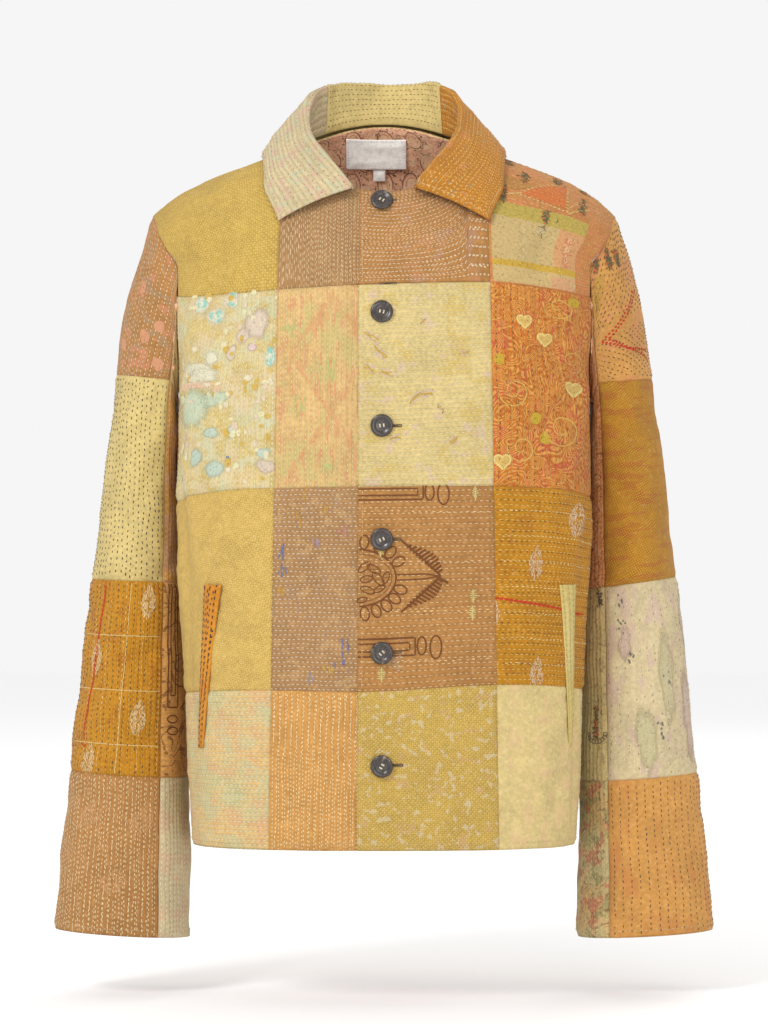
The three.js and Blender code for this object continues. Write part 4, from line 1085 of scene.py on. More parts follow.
# Rows as (thread, turn, gap, pitch, length, width, wander, skip), and at times a margin and a part.
SEWN_ROWS = {
    "sleeve_right_outer_2": [(BLACK, 92, 5.6, 6.0, 2.9, 0.95, 2.2, 0.04)],
    "sleeve_right_outer_3": [
        ((76, 56, 32), 90, 6.6, 5.4, 2.8, 0.85, 1.0, 0.1),
        ((236, 204, 136), 90, 19, 5.4, 2.6, 0.7, 1.0, 0.1),
    ],
    "sleeve_right_outer_4": [(PALE_THREAD, 90, 4.2, 4.2, 2.3, 0.75, 1.2, 0.04)],
    "sleeve_left_outer_1": [
        (BLACK, 56, 5.4, 5.0, 2.6, 0.9, 3.0, 0.05, 3, "top"),
        (BLACK, -36, 5.4, 5.0, 2.6, 0.9, 3.0, 0.05, 3, "bottom"),
    ],
    "sleeve_left_outer_4": [((104, 70, 44), 90, 7.6, 5.3, 2.9, 0.8, 1.2, 0.05)],
    "sleeve_left_outer_3": [
        ((128, 122, 104), 90, 8.2, 7.4, 2.2, 0.7, 2.4, 0.45),
        ((238, 224, 190), 90, 4.4, 4.6, 2.4, 0.6, 1.6, 0.1),
    ],
    "front_left_side_4": [((238, 218, 172), 90, 6.4, 5.2, 2.2, 0.6, 1.6, 0.2)],
    "front_left_side_3": [
        ((92, 68, 34), 0, 9.4, 5.8, 2.6, 0.8, 1.2, 0),
        ((240, 214, 150), 0, 23.5, 4.6, 2.6, 0.8, 1.2, 0),
    ],
    "front_left_side_1": [((226, 184, 112), 0, 4.6, 5.0, 2.6, 0.65, 1.4, 0.06)],
    "front_right_side_2": [((234, 218, 168), 90, 4.8, 4.8, 2.4, 0.6, 1.8, 0.08)],
    "front_left_side_2": [((120, 70, 44), 90, 7.5, 5.4, 2.6, 0.75, 1.6, 0.1)],
    "front_left_centre_3": [
        ((238, 206, 150), -1, 46, 6.4, 3.2, 0.85, 1.0, 0),
        ((150, 108, 66), 0, 6.4, 6.2, 2.4, 0.6, 1.2, 0.15),
    ],
    "front_right_centre_4": [((244, 220, 172), 88, 5.6, 4.2, 2.2, 0.95, 1.4, 0.03)],
    "front_left_centre_1": [((234, 208, 168), 0, 4.8, 5.0, 2.8, 0.8, 1.0, 0.03)],
    "front_right_centre_1": [((228, 202, 162), 90, 4.9, 4.8, 2.7, 0.8, 1.0, 0.03)],
    "collar_back": [((128, 88, 50), 0, 5.2, 4.8, 2.4, 0.85, 1.0, 0)],
    "collar_right": [((150, 96, 72), 0, 7.5, 7.0, 1.8, 0.7, 1.4, 0.25)],
    "collar_left": [((238, 190, 104), 0, 4.4, 4.4, 2.4, 0.8, 1.4, 0.05)],
    "pocket_welt_right": [(BLACK, 88, 4.6, 5.6, 3.0, 0.95, 0.4, 0, 1.6)],
    "pocket_welt_left": [((206, 178, 104), 92, 4.6, 5.2, 2.8, 0.85, 0.4, 0, 1.6)],
}
for node, sets in SEWN_ROWS.items():
    patch = patches[node]
    sewn = [stitch_rows(patch, 17 * number + len(patch.name), *rows) for number, rows in enumerate(sets)]
    sew("stitches_" + node, patch, patch.piece["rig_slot"], *[np.concatenate(part) for part in zip(*sewn)])

# ---- Printed and embroidered motifs ----
# Block prints, resist-dyed spots and small embroideries in the cloths that the patches were cut from.
print_material, tree, shader = new_material("worn_print")
ink = wire(tree, "Attribute", attribute_name="dyed").outputs["Color"]
laid_on = wire(tree, "Attribute", attribute_name="cover").outputs["Fac"]
at_object = wire(tree, "TexCoord").outputs["Object"]
rubbed = wire(tree, "TexNoise", {"Vector": at_object, "Scale": 420, "Detail": 3.0,
        "Roughness": 0.7}).outputs[0]
uneven = wire(tree, "VectorMath", {0: ink, 3: ramp(tree, rubbed, 0.3, 0.7, 0.9, 1.07)}, operation="SCALE")
tree.links.new(uneven.outputs[0], shader.inputs["Base Color"])
cover = times(tree, ramp(tree, rubbed, 0.3, 0.44, 0.45, 0.92), laid_on)
tree.links.new(cover, shader.inputs["Alpha"])
tree.links.new(wire(tree, "Bump", {"Strength": 0.5, "Distance": 0.0006, "Height": rubbed}).outputs[0],
               shader.inputs["Normal"])
shader.inputs["Roughness"].default_value = 0.92


# Straight strokes under this length are laid all together.
SHORT_STROKE = 9


class Print:
    """The motifs printed on one patch, in millimetres from its lower left corner. Where seen_from is given,
    x is measured level across from that x, and carried round onto the patch as it curves away."""

    def __init__(self, patch, lift=0.22, seen_from=None):
        self.patch = patch
        self.seen_from = seen_from
        self.run = np.linspace(0, 1, 80)
        self.level_x = patch.surface(self.run, np.full(80, 0.5))[:, 0]
        self.lift = lift
        self.bm = bmesh.new()
        self.places = []
        self.colours = []
        self.strokes = []

    def add(self, across, along, place, colour, soft=False):
        """Lays a grid of across by along squares where place(a, b) puts it, for a and b from 0 to 1.
        A soft one fades out as b nears 1."""
        made = bmesh.ops.create_grid(self.bm, x_segments=across, y_segments=along, size=0.5)["verts"]
        at = np.array([v.co[:2] for v in made]) + 0.5
        x, y = place(at[:, 0], at[:, 1])
        self.places.append((x, y, self.lift + STACK_STEP * len(self.places) + 0 * x))
        dyed = np.tile(dye(*colour), (len(made), 1))
        if soft:
            dyed[:, 3] = np.clip(2.4 * (1 - at[:, 1]), 0, 1)
        self.colours.append(dyed)

    def spot(self, x, y, wide, tall, colour, turn=0, outline=None, soft=False):
        """A filled shape about its middle: an oval, unless outline(a) gives another radius."""
        turned = math.radians(turn)

        def place(a, b):
            angle = 2 * math.pi * a
            radius = b * (outline(angle) if outline else 1)
            out_x, out_y = radius * wide * np.cos(angle), radius * tall * np.sin(angle)
            return (x + out_x * math.cos(turned) - out_y * math.sin(turned),
                    y + out_x * math.sin(turned) + out_y * math.cos(turned))
        self.add(20, 5 if soft else 2, place, colour, soft)

    def line(self, path, wide, colour, smooth=True):
        """A stroke of a width along a path of points."""
        path = np.array(path, float)
        run = np.concatenate([[0], np.cumsum(np.hypot(*np.diff(path, axis=0).T))])
        if len(path) == 2 and run[-1] < SHORT_STROKE:
            self.strokes.append((*path[0], *path[1], wide, *dye(*colour)))
            return
        steps = max(int(run[-1] / 2.2), 2)

        def at(distance):
            if smooth and len(path) > 2:
                return curve(*zip(run, path[:, 0]))(distance), curve(*zip(run, path[:, 1]))(distance)
            return np.interp(distance, run, path[:, 0]), np.interp(distance, run, path[:, 1])

        def place(a, b):
            distance = a * run[-1]
            x, y = at(distance)
            ahead, behind = at(np.minimum(distance + 0.5, run[-1])), at(np.maximum(distance - 0.5, 0))
            dx, dy = ahead[0] - behind[0], ahead[1] - behind[1]
            size = np.maximum(np.hypot(dx, dy), 1e-6)
            return x - dy / size * (b - 0.5) * wide, y + dx / size * (b - 0.5) * wide
        self.add(steps, 1, place, colour)

    def loop(self, x, y, wide, tall, stroke, colour, turn=0, start=0, end=360):
        """An oval line, or part of one."""
        angles = np.radians(np.linspace(start, end, 15))
        turned = math.radians(turn)
        out_x, out_y = wide * np.cos(angles), tall * np.sin(angles)
        self.line(np.stack([x + out_x * math.cos(turned) - out_y * math.sin(turned),
                y + out_x * math.sin(turned) + out_y * math.cos(turned)], axis=-1), stroke, colour,
                  smooth=False)

    def lay_strokes(self):
        """Lays all the short straight strokes from one ribbon, cut between each and the next."""
        marks = np.array(self.strokes)
        columns = 2 * len(marks) - 1
        at = cut_ribbon(self.bm, columns, 1, 2)
        column = np.round((at[:, 0] + 0.5) * columns).astype(int)
        x0, y0, x1, y1, wide = marks[column // 2, :5].T
        size = np.maximum(np.hypot(x1 - x0, y1 - y0), 1e-6)
        side = at[:, 1] * wide / size
        x = np.where(column % 2, x1, x0) - side * (y1 - y0)
        y = np.where(column % 2, y1, y0) + side * (x1 - x0)
        self.places.append((x, y,
                self.lift + 0.02 + STACK_STEP * len(self.places) + 0.15 * column / columns))
        self.colours.append(marks[column // 2, 5:])

    def finish(self):
        if self.strokes:
            self.lay_strokes()
        x, y, lift = (np.concatenate(part) for part in zip(*self.places))
        if self.seen_from is not None:
            x = np.interp(x + self.seen_from, self.level_x, self.run * self.patch.width)
        return coloured_mesh("print_" + self.patch.name[6:], self.bm, self.patch.laid(x, y, lift),
                np.concatenate(self.colours), print_material, self.patch.piece["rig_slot"])


def heart(angle):
    x = np.sin(angle) ** 3
    y = (13 * np.cos(angle) - 5 * np.cos(2 * angle) - 2 * np.cos(3 * angle) - np.cos(4 * angle)) / 16
    return x, y


def ragged(seed, depth=0.18):
    """A rough-edged outline."""
    random = np.random.default_rng(seed)
    waves = [(n, random.uniform(0, 6.28), depth * random.uniform(0.3, 1) / n ** 0.5) for n in (2, 3, 5, 7)]
    return lambda angle: 1 + sum(size * np.sin(n * angle + phase) for n, phase, size in waves)


def heart_print(prints, x, y, size, colour, edge):
    """A heart drawn as an outline with a paler fill."""
    angles = np.linspace(0, 2 * math.pi, 25)
    hx, hy = heart(angles)
    prints.line(np.stack([x + hx * size, y + hy * size], axis=-1), size * 0.24, edge, smooth=False)

    def place(a, b):
        fx, fy = heart(2 * math.pi * a)
        return x + fx * b * size * 0.86, y + fy * b * size * 0.86
    prints.add(24, 2, place, colour)


def sprig(prints, x, y, tall, colour):
    """A small flame-like leaf of short strokes each side of a stem."""
    for step in np.linspace(-1, 1, 7):
        spread = 0.26 * tall * (1 - abs(step) ** 1.5) + 0.4
        at_y = y + step * tall / 2
        for sign in (-1, 1):
            prints.line([(x, at_y), (x + sign * spread, at_y + 0.1 * tall)], 0.08 * tall, colour)
    prints.line([(x, y - tall * 0.56), (x, y + tall * 0.6)], 1.1, colour)


def stroked_leaf(prints, x, y, wide, tall, colour, lean=0.1):
    """A pointed leaf filled with fine upright strokes of thread, open along its vein."""
    random = np.random.default_rng(int(7 * x + y))
    for level in np.arange(-0.96, 1, 3.4 / tall):
        half = wide / 2 * (1 - abs(level) ** 1.7) * (1 - 0.15 * level)
        for across in np.arange(-half, half + 0.1, 1.25):
            if abs(across) < 0.5 and abs(level) < 0.7 or random.random() < 0.12:
                continue
            at_x = x + across + lean * level * wide + random.normal(0, 0.25)
            at_y = y + level * tall / 2 + random.normal(0, 0.7)
            if 1 < at_y < prints.patch.height - 1:
                reach = random.uniform(0.8, 1.4)
                prints.line([(at_x, at_y - reach), (at_x + random.normal(0, 0.3), at_y + reach)], 0.6,
                        colour)


def twisted_line(prints, start, end, colour):
    """A rope of slanting red stitches, each lying over the last."""
    start, end = np.array(start, float), np.array(end, float)
    length = np.linalg.norm(end - start)
    ahead = (end - start) / length
    aside = np.array([-ahead[1], ahead[0]])
    for run in np.arange(3, length - 3, 4.4):
        middle = start + run * ahead
        prints.line([middle - 3.6 * ahead - 1.1 * aside, middle + 3.6 * ahead + 1.1 * aside], 1.25, colour)


# Wearer's right chest: resist-dyed drops, a lilac bloom, a pink arc over mint, and faded blue spots.
RIGHT_SIDE_X, LEFT_SEAM_X = -194, 98
drops = Print(patches["front_right_side_2"], seen_from=RIGHT_SIDE_X)
TEAL, HALO, LILAC, MINT, SKY = (158, 208, 192), (234, 228, 198), (226, 206, 184), (206, 216, 184), (196,
        212, 192)
for x, y, wide, tall in [(17, 178, 8, 11), (45, 181, 8.5, 11), (30, 165, 9.5, 10.5), (88, 121, 6, 11)]:
    drops.spot(x, y, wide, tall, HALO, outline=ragged(int(x), 0.1), soft=True)
for x, y, wide, tall in [(17, 179, 4.6, 7.5), (45, 182, 4.6, 8), (30, 165, 5.8, 7), (88, 121, 5, 9.5)]:
    drops.spot(x, y, wide, tall, TEAL, outline=ragged(int(x) + 5, 0.12))
for x, y, wide, tall, colour, seed, depth, turn in [
        (73, 154, 15, 18, LILAC, 3, 0.24, 0), (59, 143, 9, 9, LILAC, 4, 0.24, 0),
        (16, 112, 16, 8, HALO, 12, 0.2, 0), (48, 126, 6, 9, LILAC, 14, 0.3, 0),
        (30, 122, 8, 7, HALO, 15, 0.3, 0), (86, 20, 12, 7, LILAC, 16, 0.3, 0),
        (69, 131, 5, 5, (228, 200, 196), 8, 0.2, 0), (16, 74, 18, 19, MINT, 5, 0.1, 0),
        (36, 82, 18, 8, MINT, 6, 0.12, 12), (22, 104, 21, 9, HALO, 9, 0.2, 0)]:
    drops.spot(x, y, wide, tall, colour, turn=turn, outline=ragged(seed, depth), soft=True)
drops.line([(2, 92), (14, 95), (28, 95), (42, 89)], 6.5, (234, 196, 164))
for x, y, wide, tall in [(34, 52, 8, 5.5), (53, 52, 5.5, 6), (21, 32, 6, 9), (38, 20, 9.5, 9.5),
        (84, 32, 7, 6)]:
    drops.spot(x, y, wide, tall, SKY, outline=ragged(int(x + y), 0.16), soft=True)
drops.spot(50, 27, 2.2, 4, (104, 140, 160), outline=ragged(2, 0.1))
random = np.random.default_rng(5)
for number in range(90):
    x, y = random.uniform(5, 94), random.uniform(6, 188)
    colour = [(236, 224, 186), (230, 210, 180), (236, 226, 178), (216, 180, 86)][number % 4]
    drops.spot(x, y, random.uniform(1.4, 3.4), random.uniform(1.6, 4.2), colour,
            outline=ragged(number, 0.2))
drops.finish()

# Right front beside the opening: faded ikat diamonds in coral and green.
ikat = Print(patches["front_right_centre_2"])
random = np.random.default_rng(8)
for middle_y in (13, 123):
    for ring, colour, share_kept in [(39, (230, 174, 118), 0.7), (34, (230, 178, 122), 0.5),
            (28, (231, 182, 126), 0.25)]:
        for number in range(ring * 3):
            turn = 4 * number / (ring * 3)
            corner, share = int(turn), turn - int(turn)
            ends = [(1, 0), (0, 1), (-1, 0), (0, -1), (1, 0)]
            x = 52 + ring * lerp(ends[corner][0], ends[corner + 1][0], share)
            y = middle_y + ring * 1.42 * lerp(ends[corner][1], ends[corner + 1][1], share)
            if 4 < x < 76 and 7 < y < 186 and random.random() < share_kept:
                tall = random.uniform(1.6, 4.4)
                ikat.line([(x, y - tall), (x + random.normal(0, 0.3), y + tall)], random.uniform(0.8, 1.8),
                        colour)
for x, y in [(52, 112), (22, 76), (50, 18), (12, 150)]:
    for number in range(14):
        at_x, at_y = x + random.normal(0, 4), y + random.normal(0, 4.5)
        ikat.line([(at_x, at_y - 2.4), (at_x, at_y + 2.4)], 1.5, (204, 198, 126))
ikat.finish()

# Left front beside the opening: a few ochre brush marks.
marks = Print(patches["front_left_centre_2"])
random = np.random.default_rng(11)
for x, y, size in [(12, 136, 13), (20, 122, 12), (10, 108, 10), (26, 104, 9), (52, 80, 11), (63, 84, 9),
        (76, 70, 7),
        (60, 150, 6), (98, 120, 6), (88, 40, 8), (34, 44, 7)]:
    turn = random.uniform(-0.9, 0.9)
    for strand in range(4):
        path = [(x + math.cos(turn) * t * size * 0.6 + random.normal(0, 0.7),
                 y + strand * size * 0.16 + math.sin(turn) * t * size * 0.5 + random.normal(0, 0.9))
                for t in np.linspace(-1, 1, 6)]
        marks.line(path, random.uniform(0.8, 1.7), (202, 166, 70) if strand % 3 else (222, 190, 176))
marks.finish()

# Left chest: gold hearts and balls among the scrolls.
hearts = Print(patches["front_left_side_2"], seen_from=LEFT_SEAM_X)
for x, y in [(37, 152), (57, 135), (78, 88), (10, 22)]:
    heart_print(hearts, x, y, 7.6, (226, 186, 104), (240, 214, 130))
for x, y in [(9, 114), (41, 60), (50, 43), (84, 178)]:
    hearts.spot(x, y, 5.2, 5.2, (208, 172, 52), outline=ragged(int(x), 0.06))
GOLD = (228, 182, 92)
for x, y, turns, size in [(22, 84, 1.6, 15), (66, 52, 1.5, 17), (72, 170, 1.4, 14), (28, 34, 1.5, 14),
        (80, 116, 1.3, 12)]:
    angles = np.linspace(0, turns * 2 * math.pi, 70)
    radius = size * (1 - angles / angles[-1] * 0.85)
    spiral = np.stack([x + radius * np.cos(angles + x), y + radius * np.sin(angles + x)], axis=-1)
    spiral = spiral[(spiral[:, 0] > 2) & (spiral[:, 0] < 92) & (spiral[:, 1] > 2) & (spiral[:, 1] < 190)]
    hearts.line(spiral, 1.1, GOLD, smooth=False)
hearts.finish()

# Left front, third row: a block print in brown, cut through by the opening edge.
BROWN, FAINT_BROWN = (124, 72, 30), (150, 98, 50)
block = Print(patches["front_left_centre_3"])
for top, bottom, right in [(189, 175, 61), (48, 32, 53)]:
    block.line([(0, top), (right, top), (right, bottom), (0, bottom)], 1.6, BROWN, smooth=False)
    inset = (top - bottom) * 0.28
    block.line([(0, top - inset), (right - 5, top - inset), (right - 5, bottom + inset),
            (0, bottom + inset)], 1.4, BROWN,
               smooth=False)
for x, y, wide, tall in [(67, 182, 4.2, 8.2), (80, 180, 5.4, 10), (59, 40, 4.2, 8.4), (72, 38, 5.4, 11)]:
    block.loop(x, y, wide, tall, 1.6, BROWN)
block.loop(0, 104, 35.5, 26, 1.7, BROWN, start=-88, end=88)
block.loop(0, 104, 31.5, 22, 1.0, FAINT_BROWN, start=-88, end=88)
for turn in (82, 62, 44, 26, -20, -36, -51, -66, -81):
    angle = math.radians(turn)
    block.loop(42 * math.cos(angle), 104 + 33 * math.sin(angle), 6.4, 4.2, 1.5, BROWN, turn=turn)
for x, y, wide, tall, turn in [(6, 114, 7, 3, 40), (15, 112, 7, 3.2, -30), (8, 103, 6, 3, 10),
        (19, 103, 8, 3.4, -50),
        (9, 93, 7, 3, -20), (20, 94, 6, 2.6, 30), (26, 104, 6, 2.8, 70), (4, 84, 5, 2.4, 15)]:
    block.loop(x, y, wide, tall, 1.2, BROWN, turn=turn)
    block.line([(x - wide * 0.6, y), (x + wide * 0.6, y)], 0.9, FAINT_BROWN)
for y in (106.4, 101.6):
    block.line([(36, y), (58, y), (76, 104)], 1.3, BROWN)
for tip_y, sign in [(138, 1), (72, -1)]:
    block.line([(40, tip_y), (54, lerp(tip_y, 104, 0.35)), (77, 104)], 2.0, BROWN)
    for share in np.linspace(0.1, 0.92, 11):
        root = (lerp(42, 76, share), lerp(tip_y - 3 * sign, 104, share ** 0.9))
        block.line([root, (root[0] + 9 * math.sin(share * 3) + 2,
                root[1] + sign * 7 * math.sin(share * 2.8))], 2.1, BROWN)
block.line([(72, 104), (84, 97)], 2.4, BROWN)
for x, y, tall in [(107, 84, 11), (106, 68, 12), (110, 180, 11), (21, 128, 9), (22, 15, 12)]:
    sprig(block, x, y, tall, (222, 204, 128))
block.finish()

# Left front, third row: pale embroidered leaves and a red twisted line on ochre.
PALE, RED = (232, 198, 162), (206, 60, 26)
leaves = Print(patches["front_left_side_3"], seen_from=LEFT_SEAM_X)
for x, y in [(80, 156), (43, 113), (45, 10), (2, 66)]:
    stroked_leaf(leaves, x, y, 13, 33, PALE)
twisted_line(leaves, (1, 81), (92, 69), RED)
leaves.finish()

# Right front, third row: stray blue and ochre brush marks.
strays = Print(patches["front_right_centre_3"])
random = np.random.default_rng(21)
for x, y, colour, count in [(8, 128, (116, 118, 150), 9), (10, 112, (120, 122, 140), 7),
        (70, 44, (124, 120, 158), 5),
        (66, 30, (124, 120, 158), 4), (30, 186, (204, 156, 70), 4), (24, 158, (204, 150, 60), 4),
        (48, 170, (206, 160, 70), 3), (9, 90, (204, 156, 70), 4), (54, 22, (208, 166, 80), 7),
        (38, 14, (150, 146, 160), 4), (40, 140, (176, 150, 160), 5), (66, 150, (196, 132, 120), 5)]:
    for number in range(count):
        at_x, at_y = x + random.normal(0, 2.6), y + random.normal(0, 3.4)
        tall = random.uniform(1.5, 4)
        strays.line([(at_x, at_y - tall), (at_x + random.normal(0, 0.8), at_y + tall)],
                random.uniform(0.8, 1.7), colour)
strays.finish()

# Left yoke: pieced stripes of cream, ochre and olive under a salmon cloth with dark foliage.
yoke = Print(patches["front_left_side_1"], lift=0.2, seen_from=LEFT_SEAM_X)


def band(prints, corners, colour):
    """A strip of cloth between four corners: lower left, lower right, upper right, upper left."""
    (ax, ay), (bx, by), (cx, cy), (dx, dy) = corners

    def place(a, b):
        return (lerp(lerp(ax, bx, a), lerp(dx, cx, a), b), lerp(lerp(ay, by, a), lerp(dy, cy, a), b))
    prints.add(24, 10, place, colour)


def foliage(prints, x, y, wide, tall, count, seed, colours):
    """Loose leaves and stems in fine broken strokes."""
    random = np.random.default_rng(seed)
    for number in range(count):
        at_x, at_y = x + random.uniform(-wide, wide), y + random.uniform(-tall, tall)
        size = random.uniform(1.6, 4.6)
        turn = random.uniform(0, 2 * math.pi)
        bend = random.uniform(-0.8, 0.8)
        path = [(at_x + size * t * math.cos(turn + bend * t), at_y + size * t * math.sin(turn + bend * t))
                for t in (-1, 0, 1)]
        wide = random.uniform(0.6, 1.5)
        prints.line(path[:2], wide, colours[number % len(colours)])
        prints.line(path[1:], wide, colours[number % len(colours)])


w, h = 97, yoke.patch.height
OLIVE = (196, 172, 82)
band(yoke, [(0.31 * w, 0.5 * h), (0.74 * w, 0.49 * h), (0.73 * w, 0.75 * h), (0.68 * w, 0.74 * h)],
     (220, 124, 62))
band(yoke, [(1, 0.52 * h), (0.26 * w, 0.52 * h), (0.5 * w, 0.62 * h), (1, 0.64 * h)], (196, 140, 74))
band(yoke, [(1, 1), (w - 1, 1), (w - 1, 0.08 * h), (1, 0.075 * h)], (214, 184, 122))
band(yoke, [(1, 0.1 * h), (0.74 * w, 0.11 * h), (0.74 * w, 0.335 * h), (1, 0.32 * h)], (210, 182, 122))
band(yoke, [(0.74 * w, 0.11 * h), (w - 1, 0.112 * h), (w - 1, 0.34 * h), (0.74 * w, 0.335 * h)],
     (222, 164, 110))
band(yoke, [(0.7 * w, 1), (w - 1, 1), (w - 1, 0.07 * h), (0.7 * w, 0.06 * h)], (224, 170, 122))
band(yoke, [(1, 0.075 * h), (w - 1, 0.08 * h), (w - 1, 0.112 * h), (1, 0.103 * h)], (212, 172, 62))
band(yoke, [(1, 0.32 * h), (w - 1, 0.34 * h), (w - 1, 0.45 * h), (1, 0.4 * h)], OLIVE)
DARK_GREEN = (92, 98, 66)
for x, y, wide, tall, count in [(0.14, 0.47, 0.11, 0.06, 60), (0.63, 0.82, 0.16, 0.06, 60),
        (0.34, 0.68, 0.12, 0.06, 34),
        (0.57, 0.39, 0.14, 0.035, 44), (0.9, 0.62, 0.08, 0.12, 40), (0.2, 0.86, 0.16, 0.06, 26),
        (0.86, 0.88, 0.1, 0.05, 30)]:
    foliage(yoke, x * w, y * h, wide * w, tall * h, count, int(x * 90),
            [DARK_GREEN, (140, 128, 72), (118, 96, 60), (92, 98, 66), (222, 118, 66)])
for points in [[(0.3, 0.5), (0.7, 0.77)], [(0.3, 0.49), (0.76, 0.47)], [(0.76, 0.47), (0.74, 0.8)],
        [(0.02, 0.44), (0.3, 0.5)],
               [(0.78, 0.46), (0.98, 0.6)], [(0.78, 0.52), (0.97, 0.7)]]:
    (ax, ay), (bx, by) = points
    for share in np.arange(0.02, 1, 0.09):
        yoke.spot(lerp(ax, bx, share) * w, lerp(ay, by, share) * h, 1.3, 0.7, (238, 200, 130))
foliage(yoke, 0.36 * w, 0.2 * h, 0.33 * w, 0.08 * h, 120, 77,
        [(218, 192, 134), (203, 173, 113), (214, 187, 128)])
foliage(yoke, 0.55 * w, 0.29 * h, 0.16 * w, 0.02 * h, 30, 79, [(226, 204, 152), (150, 130, 90)])
foliage(yoke, 0.86 * w, 0.2 * h, 0.1 * w, 0.08 * h, 60, 78, [(226, 138, 92), (232, 190, 140)])
yoke.finish()

# Left sleeve cap: the yoke's foliage runs on, and a red dotted chevron is sewn below.
cap = Print(patches["sleeve_left_outer_1"], lift=0.24)
w, h = cap.patch.width, cap.patch.height
band(cap, [(2, 0.62 * h), (0.1 * w, 0.6 * h), (0.16 * w, 0.84 * h), (2, 0.88 * h)], (206, 156, 72))
for x, y, wide, tall, count in [(0.2, 0.9, 0.05, 0.07, 70), (0.27, 0.84, 0.05, 0.05, 60),
        (0.12, 0.94, 0.05, 0.04, 34)]:
    foliage(cap, x * w, y * h, wide * w, tall * h, count, int(x * 100),
            [(96, 100, 72), (136, 112, 66), (84, 88, 66), (214, 112, 60)])
foliage(cap, 0.08 * w, 0.7 * h, 0.05 * w, 0.08 * h, 30, 8, [(182, 132, 56), (222, 176, 96)])
for offset in (0, 6.5):
    path = np.array([(0.36 * w + offset, 0.56 * h), (0.09 * w + offset, 0.34 * h),
            (0.2 * w + offset, 0.25 * h - offset * 0.5),
            (0.44 * w, 0.12 * h + offset * 1.2)])
    run = np.concatenate([[0], np.cumsum(np.hypot(*np.diff(path, axis=0).T))])
    for distance in np.arange(0, run[-1], 3.9):
        cap.spot(np.interp(distance, run, path[:, 0]), np.interp(distance, run, path[:, 1]), 1.35, 1.1,
                (206, 48, 30),
                 outline=ragged(int(distance), 0.2))
cap.finish()

# Right sleeve: pale leaves, a red twisted line and white rules, then faded pink hearts at the cuff.
forearm = Print(patches["sleeve_right_outer_3"])
w, h = forearm.patch.width, forearm.patch.height
for x, y in [(0.92, 0.9), (0.66, 0.6), (0.89, 0.3), (0.67, 0.06), (0.4, 0.75), (0.42, 0.3), (0.18, 0.55),
        (0.2, 0.1)]:
    stroked_leaf(forearm, x * w, y * h, 15, 34, (240, 212, 160))
twisted_line(forearm, (0.68 * w, h - 2), (0.62 * w, 0.16 * h), RED)
forearm.line([(0.6 * w, 0.15 * h), (0.64 * w, 0.13 * h)], 1.6, RED)
for y in (0.71, 0.43, 0.15):
    forearm.line([(3, y * h), (w - 3, y * h + 2)], 0.7, (232, 206, 140))
forearm.line([(0.8 * w, 2), (0.83 * w, h - 2)], 0.6, (232, 206, 140))
forearm.finish()
cuff = Print(patches["sleeve_right_outer_4"])
w, h = cuff.patch.width, cuff.patch.height
for x, y in [(0.58, 0.5), (0.82, 0.34), (0.7, 0.74), (0.92, 0.72), (0.3, 0.6), (0.42, 0.2), (0.14, 0.3)]:
    stroked_leaf(cuff, x * w, y * h, 24, 26, (222, 168, 112))
cuff.finish()
lower = Print(patches["sleeve_left_outer_3"])
w, h = lower.patch.width, lower.patch.height
for x, y, wide, tall, colour in [(0.5, 0.75, 14, 40, (216, 190, 168)), (0.45, 0.3, 16, 44, (216, 190, 170)),
        (0.3, 0.5, 12, 46, (214, 200, 156)), (0.1, 0.7, 8, 18, (218, 188, 168)),
        (0.18, 0.2, 12, 34, (212, 200, 154))]:
    lower.spot(x * w, y * h, wide, tall, colour, outline=ragged(int(x * 90), 0.25), soft=True)
random = np.random.default_rng(27)
for x, y, count in [(0.24, 0.24, 9), (0.09, 0.78, 6), (0.12, 0.64, 5), (0.3, 0.5, 4), (0.08, 0.92, 4)]:
    for number in range(count):
        lower.spot(x * w + random.uniform(-4, 4), y * h + random.uniform(-8, 8), 1, random.uniform(1, 2.4),
                   (128, 122, 112), turn=random.uniform(-40, 40))
lower.finish()
upper = Print(patches["sleeve_right_outer_1"])
w, h = upper.patch.width, upper.patch.height
for x, y, size in [(0.86, 0.42, 6), (0.78, 0.3, 7), (0.88, 0.12, 7), (0.7, 0.62, 6), (0.6, 0.2, 6),
        (0.3, 0.3, 7)]:
    upper.spot(x * w, y * h, size * 0.8, size * 1.1, (218, 156, 116),
            outline=ragged(int(size + x * 30), 0.2))
upper.finish()

bars_print = Print(patches["sleeve_right_under_3"])
h = bars_print.patch.height
for left, right, bottom in [(6, 20, 0.36 * h), (10, 16, 0.42 * h)]:
    bars_print.line([(left, h - 2), (left, bottom), (right, bottom), (right, h - 2)], 1.5, (120, 66, 36),
            smooth=False)
bars_print.loop(13, 0.3 * h, 7, 3.6, 1.4, (120, 66, 36))
bars_print.loop(13, 0.24 * h, 7, 3.6, 1.4, (120, 66, 36))
bars_print.finish()
flowers = Print(patches["sleeve_left_under_3"])
w, h = flowers.patch.width, flowers.patch.height
foliage(flowers, w - 13, 0.3 * h, 10, 15, 54, 5, [(110, 92, 76), (132, 108, 84), (214, 132, 96)])
foliage(flowers, w - 6, 0.94 * h, 4, 8, 16, 6, [(104, 90, 76)])
for number in range(9):
    turn = math.pi * number / 8
    flowers.loop(w - 12 + 10 * math.cos(turn), 0.24 * h - 7 * math.sin(turn), 2.2, 2.2, 0.8, (110, 92, 76))
flowers.finish()

# ---- Lining and labels ----
# A printed cotton lining shows inside the back of the neck, with a blank woven label and a small tab on it;
# both are dyed lighter than their cloth, as painted light against the shade there.
LINING = 0.8
LABEL_LOOKS = [("neck_label", -36, 21, -9, 18, 0.5), ("size_tab", -10, 1, -20, -9.5, 0.3)]


